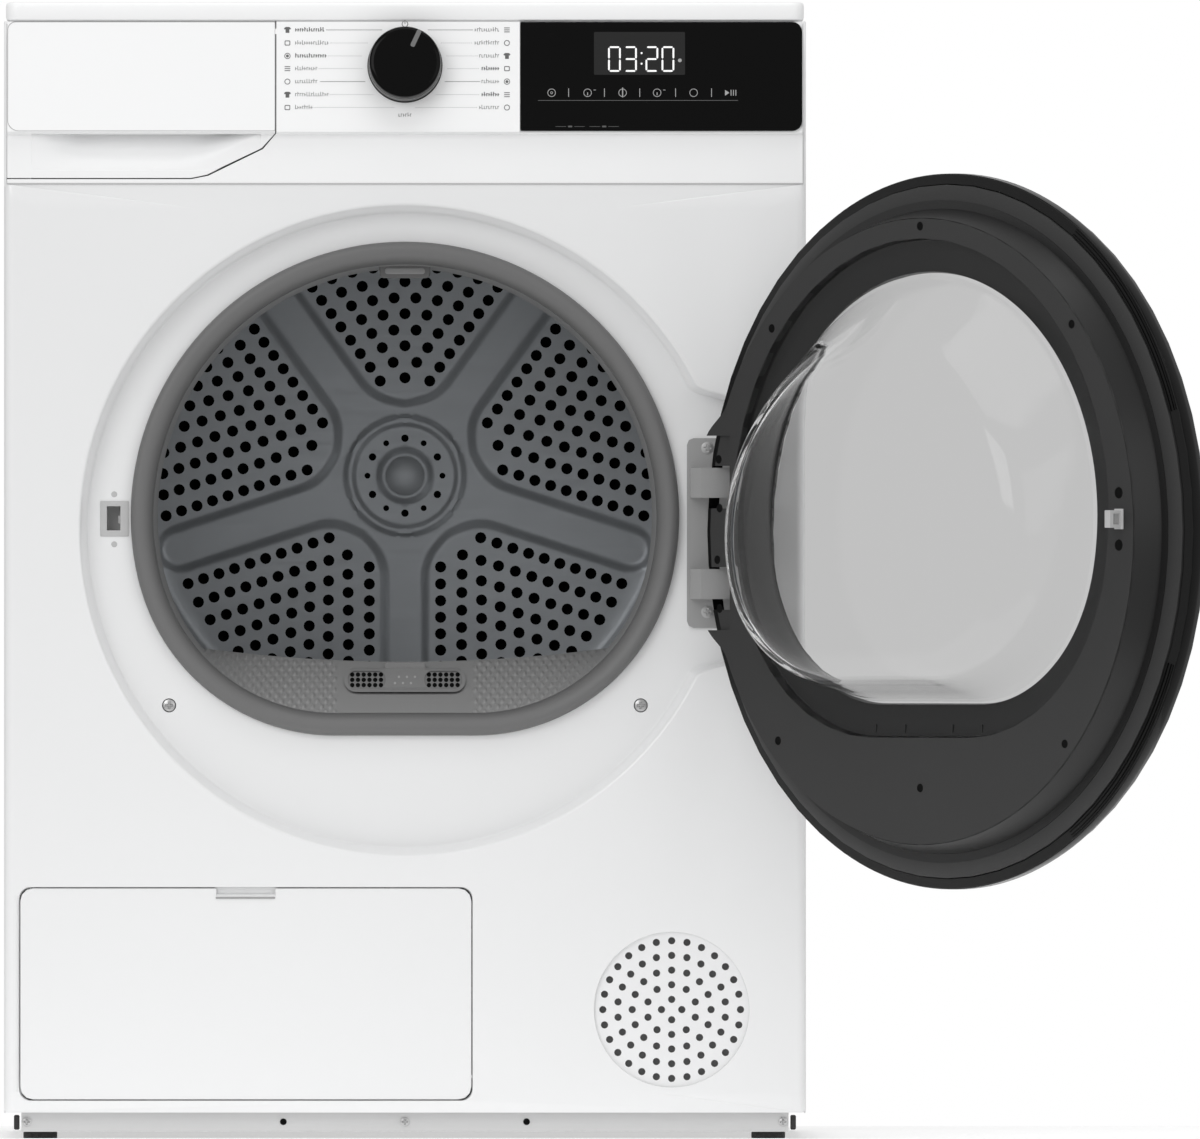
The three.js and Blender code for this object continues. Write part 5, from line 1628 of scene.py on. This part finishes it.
# ---- Door ------------------------------------------------------------------------------------------
@dataclass
class Door:
    """The open door: ring face, glass bowl, dark steps, gloss rim and outer glass, made closed then
    turned.
    """

    z: float = 454.0
    ring_y: float = 20.5
    pin: tuple[float, float] = (247.8, -21.5)
    opened: float = math.radians(132.2)
    outline: PocketedCircle = field(default_factory=lambda: PocketedCircle(454.0, 232.6, 236.5, 16.0, 24.0))
    plate_z: tuple[float, float] = (380.4, 525.6)
    slot_x: float = 209.0
    wells: tuple[tuple[float, float], ...] = (
        (0.0, 227.0), (163.0, 151.5), (-165.5, 153.6), (-216.8, 28.5), (-216.8, -10.2), (-158.0, -157.6),
        (0.0, -190.8), (156.0, -156.0), (224.0, 54.0), (223.0, 17.5), (225.5, -21.0), (223.0, -57.5))
    bowl: tuple[tuple[float, float], ...] = (
        (25.5, 9.2), (27.0, 4.0), (28.5, 0.0), (30.5, -11.0), (33.0, -22.0), (35.6, -32.5), (38.5, -42.0),
        (42.0, -48.0), (46.5, -52.0), (53.5, -55.6), (62.0, -58.0), (77.0, -60.0), (95.0, -61.0))

    @classmethod
    def from_frame(cls, frame: dict, datum: Datum) -> Door:
        """Reads the hinge's place and how far the door stands open from the frame's joint.

        Args:
            frame: the loaded frame.
            datum: turns metres into cabinet millimetres.

        Returns:
            The door.
        """
        joint = next(j for j in frame["joints"] if j["name"] == "door_hinge")
        at = datum.local(joint["pos_m"])
        return cls(pin=(float(at[0]), float(at[1])), opened=math.radians(-joint["range_deg"][0]))

    def place(self, points: np.ndarray) -> np.ndarray:
        """Closed-door points turned open about the hinge pin.

        Args:
            points: points (N, 3) of the closed door.

        Returns:
            The points of the open door.
        """
        c, s = math.cos(self.opened), math.sin(self.opened)
        x, y = points[:, 0] - self.pin[0], points[:, 1] - self.pin[1]
        return np.stack([self.pin[0] + x * c - y * s, self.pin[1] + x * s + y * c, points[:, 2]], 1)

    def at(self, out: float) -> float:
        """Depth of a face that lies a distance in front of the closed door's ring face."""
        return self.ring_y - out

    def build(self, maker: Maker) -> None:
        """Builds the door from its ring outwards.

        Args:
            maker: makes the pieces.
        """
        self._ring_face(maker)
        self._throat(maker)
        self._bowl(maker)
        self._rim(maker)
        self._glass(maker)
        self._grips(maker)
        self._step(maker)

    def _sector(self, section: Sequence[tuple[float, float]], start: float, end: float, count: int) -> Shape:
        """A closed section of (radius, out) carried round part of a circle about the door's middle.

        Args:
            section: the section as (radius, out).
            start: degrees at the first end.
            end: degrees at the last end.
            count: steps between the ends.

        Returns:
            The sector.
        """
        angle = np.radians(np.linspace(start, end, count))[:, None]
        radius, out = np.array(section, float).T
        rings = np.stack([radius * np.cos(angle), self.at(0) - out + 0 * angle,
                          self.z + radius * np.sin(angle)], -1)
        return Shape().loft(rings, close=False, caps=True)

    def _step(self, maker: Maker) -> None:
        """The step outside the ring face: a wall and groove carried round all but the hinge side, darkened
        with painted shade.
        """
        section = [(233.2, 0.9), (240.15, 21.75), (246.5, 21.75), (246.5, 22.3), (239.6, 22.3), (232.8, 1.2)]
        # the step's dark finish is painted shade between the ring face and the flange
        maker.piece("door_step", self._sector(section, 27.0, 333.0, 150), STEP_DARK, "door", place=self.place)

    def _notched(self) -> np.ndarray:
        """The ring's outline with one square notch for the hinge plate.

        Returns:
            The loop (N, 2).
        """
        loop = self.outline(0.0)
        degrees = np.degrees(np.arctan2(loop[:, 1] - self.z, loop[:, 0]))
        side = loop[np.abs(degrees) <= 30]
        rest = loop[np.abs(degrees) > 30]
        foot, head = self.plate_z
        edge = np.interp([foot, head], side[:, 1], side[:, 0])
        notch = np.array([[edge[0], foot], [self.slot_x, foot], [self.slot_x, head], [edge[1], head]])
        return np.concatenate([side[side[:, 1] < foot - 0.5], notch, side[side[:, 1] > head + 0.5], rest])

    def _ring_face(self, maker: Maker) -> None:
        """The flat ring face with its screw wells, a thin plate over the door's inner frame; the dark discs
        at the bottom of the wells are painted shade.

        Args:
            maker: makes the pieces.
        """
        clear = [well for well in self.wells if well[0] < self.slot_x]
        holes = [OPENING(1.4)] + [circle(x, self.z + z, self._well(x, z), 18) for x, z in clear]
        shape = Shape().plate(self._notched(), holes, level(self.at(0.05)), level(self.at(-0.25)))
        maker.piece("door_ring_face", shape, DARK, "door", place=self.place)
        # dark discs at the bottom of each screw well: painted shade
        wells = Shape()
        for x, z in self.wells:
            r, out = self._well(x, z), 2.2 if x > self.slot_x else 0.0
            wells.turn([(0, self.at(out - 0.1)), (r - 0.2, self.at(out - 0.1)), (r - 0.1, self.at(out + 0.1)),
                        (0, self.at(out + 0.1))], x, self.z + z, 18)
        maker.piece("door_well_shade_discs", wells, HOLE_DARK, "door", place=self.place)

    @staticmethod
    def _well(x: float, z: float) -> float:
        """A well's radius: larger for the two beside the latch hook."""
        return 4.4 if x < -200 and abs(z) < 40 else 3.4

    def _throat(self, maker: Maker) -> None:
        """The dark throat between ring and glass: a stepped profile carried round the loading outline.

        Args:
            maker: makes the pieces.
        """
        at = self.at
        throat = [(1.4, at(-0.2)), (1.2, at(0.4)), (1.15, at(5.0)), (0.2, at(7.8)), (-2.6, at(8.9)),
                  (-8.0, at(9.4)), (-21.0, at(10.4)), (-23.2, at(11.0)), (-23.6, at(12.4)), (-24.2, at(15.5)),
                  (1.0, at(15.5)), (1.4, at(8.0))]
        maker.piece("door_throat", Shape().sweep(OPENING, throat), STEP_DARK, "door", ["door_bowl_ring"],
                    place=self.place)
        ticks = Shape()
        for x in (-58.0, -26.0, 26.0, 58.0):
            foot = OPENING.z - OPENING.corner_drop - OPENING.corner
            ticks.box((x - 0.4, at(9.8), foot + 1.8), (x + 0.4, at(8.3), foot + 8.5), 0.2)
        maker.piece("door_throat_ribs", ticks, DARK, "door", place=self.place)

    @staticmethod
    def _drawn_down(loop: np.ndarray, out: float) -> np.ndarray:
        """A bowl ring drawn down towards the foot: height from a level 45 mm above it times 1 - 0.16 depth /
        70.
        """
        level_z = OPENING.z - OPENING.corner - OPENING.corner_drop + 45
        return np.stack([loop[:, 0], level_z + (loop[:, 1] - level_z) * (1 - 0.16 * (9.2 - out) / 70)], 1)

    def _bowl(self, maker: Maker) -> None:
        """The glass bowl: the loading outline drawn in step by step, with a wall 4 mm thick.

        Args:
            maker: makes the pieces.
        """
        outer = [self._drawn_down(OPENING(-inset), out) for inset, out in self.bowl]
        deep = [self.at(out) for _, out in self.bowl]
        rings = [np.stack([o[:, 0], np.full(len(o), y), o[:, 1]], 1) for o, y in zip(outer, deep)]
        centre = np.array([0.0, self.at(-62.0), 457.8])
        last = rings[-1]
        for t in (0.3, 0.6, 0.85):
            ring = last + (centre - last) * t
            ring[:, 1] = last[:, 1] + (centre[1] - last[:, 1]) * math.sin(t * math.pi / 2)
            rings.append(ring)
        rings.append(np.repeat(centre[None], len(last), 0))
        inner = []
        for ring in rings:
            reach = np.linalg.norm((ring - centre)[:, [0, 2]], axis=1, keepdims=True)
            shrink = np.where(reach > 20, 1 - 4.0 / np.maximum(reach, 20.0), 0.8)
            moved = centre + (ring - centre) * np.concatenate([shrink, np.ones_like(shrink), shrink], 1)
            moved[:, 1] -= 4.4 * smooth(0.0, 40.0, np.full(len(ring), ring[0, 1] - self.at(9.2)))
            inner.append(moved)
        shape = Shape().loft(np.array([*rings, *inner[::-1]]), close=True)
        maker.piece("door_glass_bowl", shape, BOWL_GLASS, "door", ["door_bowl"], place=self.place)

    def _rim(self, maker: Maker) -> None:
        """A thin black edge carried round the rim, just proud of it.

        Args:
            maker: makes the pieces.
        """
        at = self.at
        edge = [(265.6, at(29.4)), (266.3, at(30.0)), (266.4, at(36.6)), (265.2, at(39.6)), (264.6, at(39.2)),
                (265.2, at(36.4))]
        maker.piece("door_rim_edge", Shape().turn(edge, 0, self.z, 180), EDGE_BLACK, "door", place=self.place)

    def _glass(self, maker: Maker) -> None:
        """The slightly domed outer pane, turned about the door's middle.

        Args:
            maker: makes the pieces.
        """
        at = self.at
        edge = 213.7
        radius = np.linspace(0, edge, 24)
        front = [(r, at(53.0 - 3.0 * (r / edge) ** 2)) for r in radius]
        back = [(r, at(49.6 - 3.0 * (r / edge) ** 2)) for r in radius[::-1]]
        maker.piece("door_outer_pane", Shape().turn([*front, *back], 0, self.z, 160), DOOR_GLASS, "door",
                    ["door_outer_glass"], place=self.place)

    def _grips(self, maker: Maker) -> None:
        """Two grip grooves in the free-side flange: pairs of fine raised lines along arcs.

        Args:
            maker: makes the pieces.
        """
        shape = Shape()
        for start, end in ((122.0, 160.0), (202.0, 239.0)):
            for radius, lift in ((259.8, 27.1), (262.4, 27.9), (264.2, 28.3)):
                section = [(radius, lift - 0.5), (radius + 0.55, lift - 0.4), (radius + 0.55, lift + 1.2),
                           (radius, lift + 1.2)]
                shape.merge(self._sector(section, start, end, 60))
        maker.piece("door_grip_lines", shape, EDGE_BLACK, "door", place=self.place)


@dataclass
class Hardware:
    """Screws of the hinge, and fine copies of the fitted CAD parts."""

    bevels: dict[str, float] = field(default_factory=lambda: {
        "base_frame": 0.8, "control_panel": 0.5, "drawer_front": 0.5, "water_tank": 1.0,
        "front_bulkhead": 0.5, "lint_filter": 0.4, "drum_front_felt": 0.3, "latch_box": 0.4,
        "latch_catch": 0.3, "drum_lifter_1": 2.0, "drum_lifter_2": 2.0, "drum_lifter_3": 2.0,
        "drum_shaft": 0.5, "drum_bearing": 0.5, "drum_roller_left": 1.0, "drum_roller_right": 1.0,
        "motor_shaft": 0.3, "motor_housing": 1.0, "idler_pulley": 0.4, "idler_arm": 0.4, "fan_impeller": 0.4,
        "fan_housing": 1.0, "compressor": 2.0, "condensate_pump": 0.8, "cable_gland": 0.5,
        "service_flap": 0.7, "exchanger_cover": 1.2, "cover_lever_left": 0.8, "cover_lever_right": 0.8,
        "hinge_plate": 0.6, "hinge_pin": 0.4, "door_inner_frame": 0.4, "door_outer_ring": 0.6,
        "hinge_leaf": 0.5, "door_hook": 0.4, "foot_front_left": 1.0, "foot_front_right": 1.0,
        "foot_rear_left": 1.0, "foot_rear_right": 1.0, "left_side_panel": 0.6, "right_side_panel": 0.6,
        "rear_panel": 0.5, "rear_duct_cover": 1.2, "rear_bulkhead": 0.5, "evaporator": 0.5,
        "condenser_coil": 0.5, "selector_switch": 0.4, "control_board": 0.2, "drum_belt": 0.3})

    def build(self, maker: Maker, nodes: dict[str, bpy.types.Object]) -> None:
        """Builds the hinge's screws and every fine copy.

        Args:
            maker: makes the pieces.
            nodes: the CAD nodes by name.
        """
        shape = Shape()
        for z in (516.6, 393.9):
            shape.merge(cross_screw(226.3, 19.3, z, 4.6, 0.7))
        maker.piece("hinge_screws", shape, PLATED, "cabinet")
        for name, width in self.bevels.items():
            self._fine_copy(maker, nodes[name], name, width)

    @staticmethod
    def _fine_copy(maker: Maker, node: bpy.types.Object, name: str, width: float) -> None:
        """A welded, smooth-shaded copy of a CAD node with its sharp edges bevelled by width, in millimetres.

        Args:
            maker: counts the copy.
            node: the CAD node.
            name: the node's name.
            width: of the bevel, in millimetres.
        """
        mesh = node.data.copy()
        mesh.name = f"{name}_fine"
        work = bmesh.new()
        work.from_mesh(mesh)
        bmesh.ops.remove_doubles(work, verts=work.verts, dist=CAD_WELD)
        bmesh.ops.dissolve_degenerate(work, edges=work.edges, dist=CAD_WELD)
        bmesh.ops.dissolve_limit(work, angle_limit=math.radians(0.5), verts=work.verts, edges=work.edges)
        bmesh.ops.recalc_face_normals(work, faces=work.faces)
        work.to_mesh(mesh)
        work.free()
        mesh.polygons.foreach_set("use_smooth", np.ones(len(mesh.polygons), bool))
        mesh.materials.clear()
        finish = NODE_FINISHES[name]
        mesh.materials.append(finish.material())
        copy = bpy.data.objects.new(f"{name}_fine", mesh)
        bpy.context.scene.collection.objects.link(copy)
        bevel = copy.modifiers.new("edges", "BEVEL")
        bevel.width = width * MM
        bevel.segments = 2
        bevel.limit_method = "ANGLE"
        bevel.angle_limit = math.radians(32)
        bevel.use_clamp_overlap = True
        weighted = copy.modifiers.new("shading", "WEIGHTED_NORMAL")
        weighted.keep_sharp = True
        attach(copy, node["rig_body"])
        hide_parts(name)
        maker.made += 1
        log.info("%s_fine: bevelled copy on %s", name, node["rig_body"])


# ---- Stage, camera and light -----------------------------------------------------------------------
@dataclass
class Studio:
    """A plain pale floor, soft lights and a long lens square to the front."""

    distance: float = 40.0
    eye_x: float = 0.0
    frame_centre: float = 145.9
    eye_z: float = 425.7
    frame_width: float = 897.6
    sensor: float = 36.0

    def build(self, datum: Datum) -> None:
        """Adds the floor, the world, the lights and the camera.

        Args:
            datum: places the camera.
        """
        self._floor()
        self._world()
        self._light("key_light", (-2.0, -3.4, 2.2), 35.0, 2.0, (0, 0, 0.45))
        self._light("fill_light", (2.4, -3.4, 1.6), 14.0, 2.4, (0, 0, 0.45))
        self._light("top_light", (0.0, -0.8, 3.0), 18.0, 2.0, (0, 0, 0.4))
        camera = bpy.data.cameras.new("camera")
        camera.sensor_width = self.sensor
        camera.lens = self.sensor * self.distance * 1000 / self.frame_width
        camera.shift_x = (self.frame_centre - self.eye_x) / self.frame_width
        camera.clip_end = 200
        seat = bpy.data.objects.new("camera", camera)
        seat.location = (datum.x + self.eye_x * MM, datum.y - self.distance, self.eye_z * MM)
        seat.rotation_euler = (math.pi / 2, 0, 0)
        bpy.context.scene.collection.objects.link(seat)
        bpy.context.scene.camera = seat
        bpy.context.scene.view_settings.view_transform = "Standard"

    def _floor(self) -> None:
        """A level floor round the dryer."""
        reach = 0.8
        mesh = bpy.data.meshes.new("floor")
        corners = [(-reach, -reach, 0), (reach, -reach, 0), (reach, reach, 0), (-reach, reach, 0)]
        mesh.from_pydata(corners, [], [(0, 1, 2, 3)])
        mesh.materials.append(FLOOR.material())
        floor = bpy.data.objects.new("floor", mesh)
        bpy.context.scene.collection.objects.link(floor)

    @staticmethod
    def _world() -> None:
        """A soft surround that lights the dryer gently and is white where it is seen directly."""
        world = bpy.data.worlds.new("surround")
        world.use_nodes = True
        tree = world.node_tree
        soft = tree.nodes["Background"]
        soft.inputs["Color"].default_value = (1.0, 1.0, 1.0, 1)
        soft.inputs["Strength"].default_value = 0.6
        bright = tree.nodes.new("ShaderNodeBackground")
        bright.inputs["Color"].default_value = (1.0, 1.0, 1.0, 1)
        bright.inputs["Strength"].default_value = 1.0
        seen = tree.nodes.new("ShaderNodeLightPath")
        either = tree.nodes.new("ShaderNodeMixShader")
        tree.links.new(seen.outputs["Is Camera Ray"], either.inputs["Fac"])
        tree.links.new(soft.outputs["Background"], either.inputs[1])
        tree.links.new(bright.outputs["Background"], either.inputs[2])
        tree.links.new(either.outputs["Shader"], tree.nodes["World Output"].inputs["Surface"])
        bpy.context.scene.world = world

    @staticmethod
    def _light(name: str, place: tuple[float, float, float], power: float, size: float,
               target: tuple[float, float, float]) -> None:
        """A square soft light at a place, facing a target.

        Args:
            name: the light's name.
            place: its place in metres.
            power: in watts.
            size: side of the square in metres.
            target: the point it faces.
        """
        lamp = bpy.data.lights.new(name, "AREA")
        lamp.energy = power
        lamp.size = size
        seat = bpy.data.objects.new(name, lamp)
        seat.location = place
        seat.rotation_euler = (Vector(target) - Vector(place)).to_track_quat("-Z", "Y").to_euler()
        bpy.context.scene.collection.objects.link(seat)


def main() -> None:
    logging.basicConfig(level=logging.INFO, format="%(name)s %(message)s")
    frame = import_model()
    datum = Datum.from_frame()
    maker = Maker(datum)
    dress_nodes(frame["nodes"])
    Studio().build(datum)
    for part in (Cabinet(), FrontPanel(), ControlPanel(), Mouth(), Drum(), Door.from_frame(frame, datum)):
        part.build(maker)
        log.info("%s built", type(part).__name__)
    Hardware().build(maker, frame["nodes"])
    log.info("%d pieces made", maker.made)


if __name__ == "__main__":
    main()
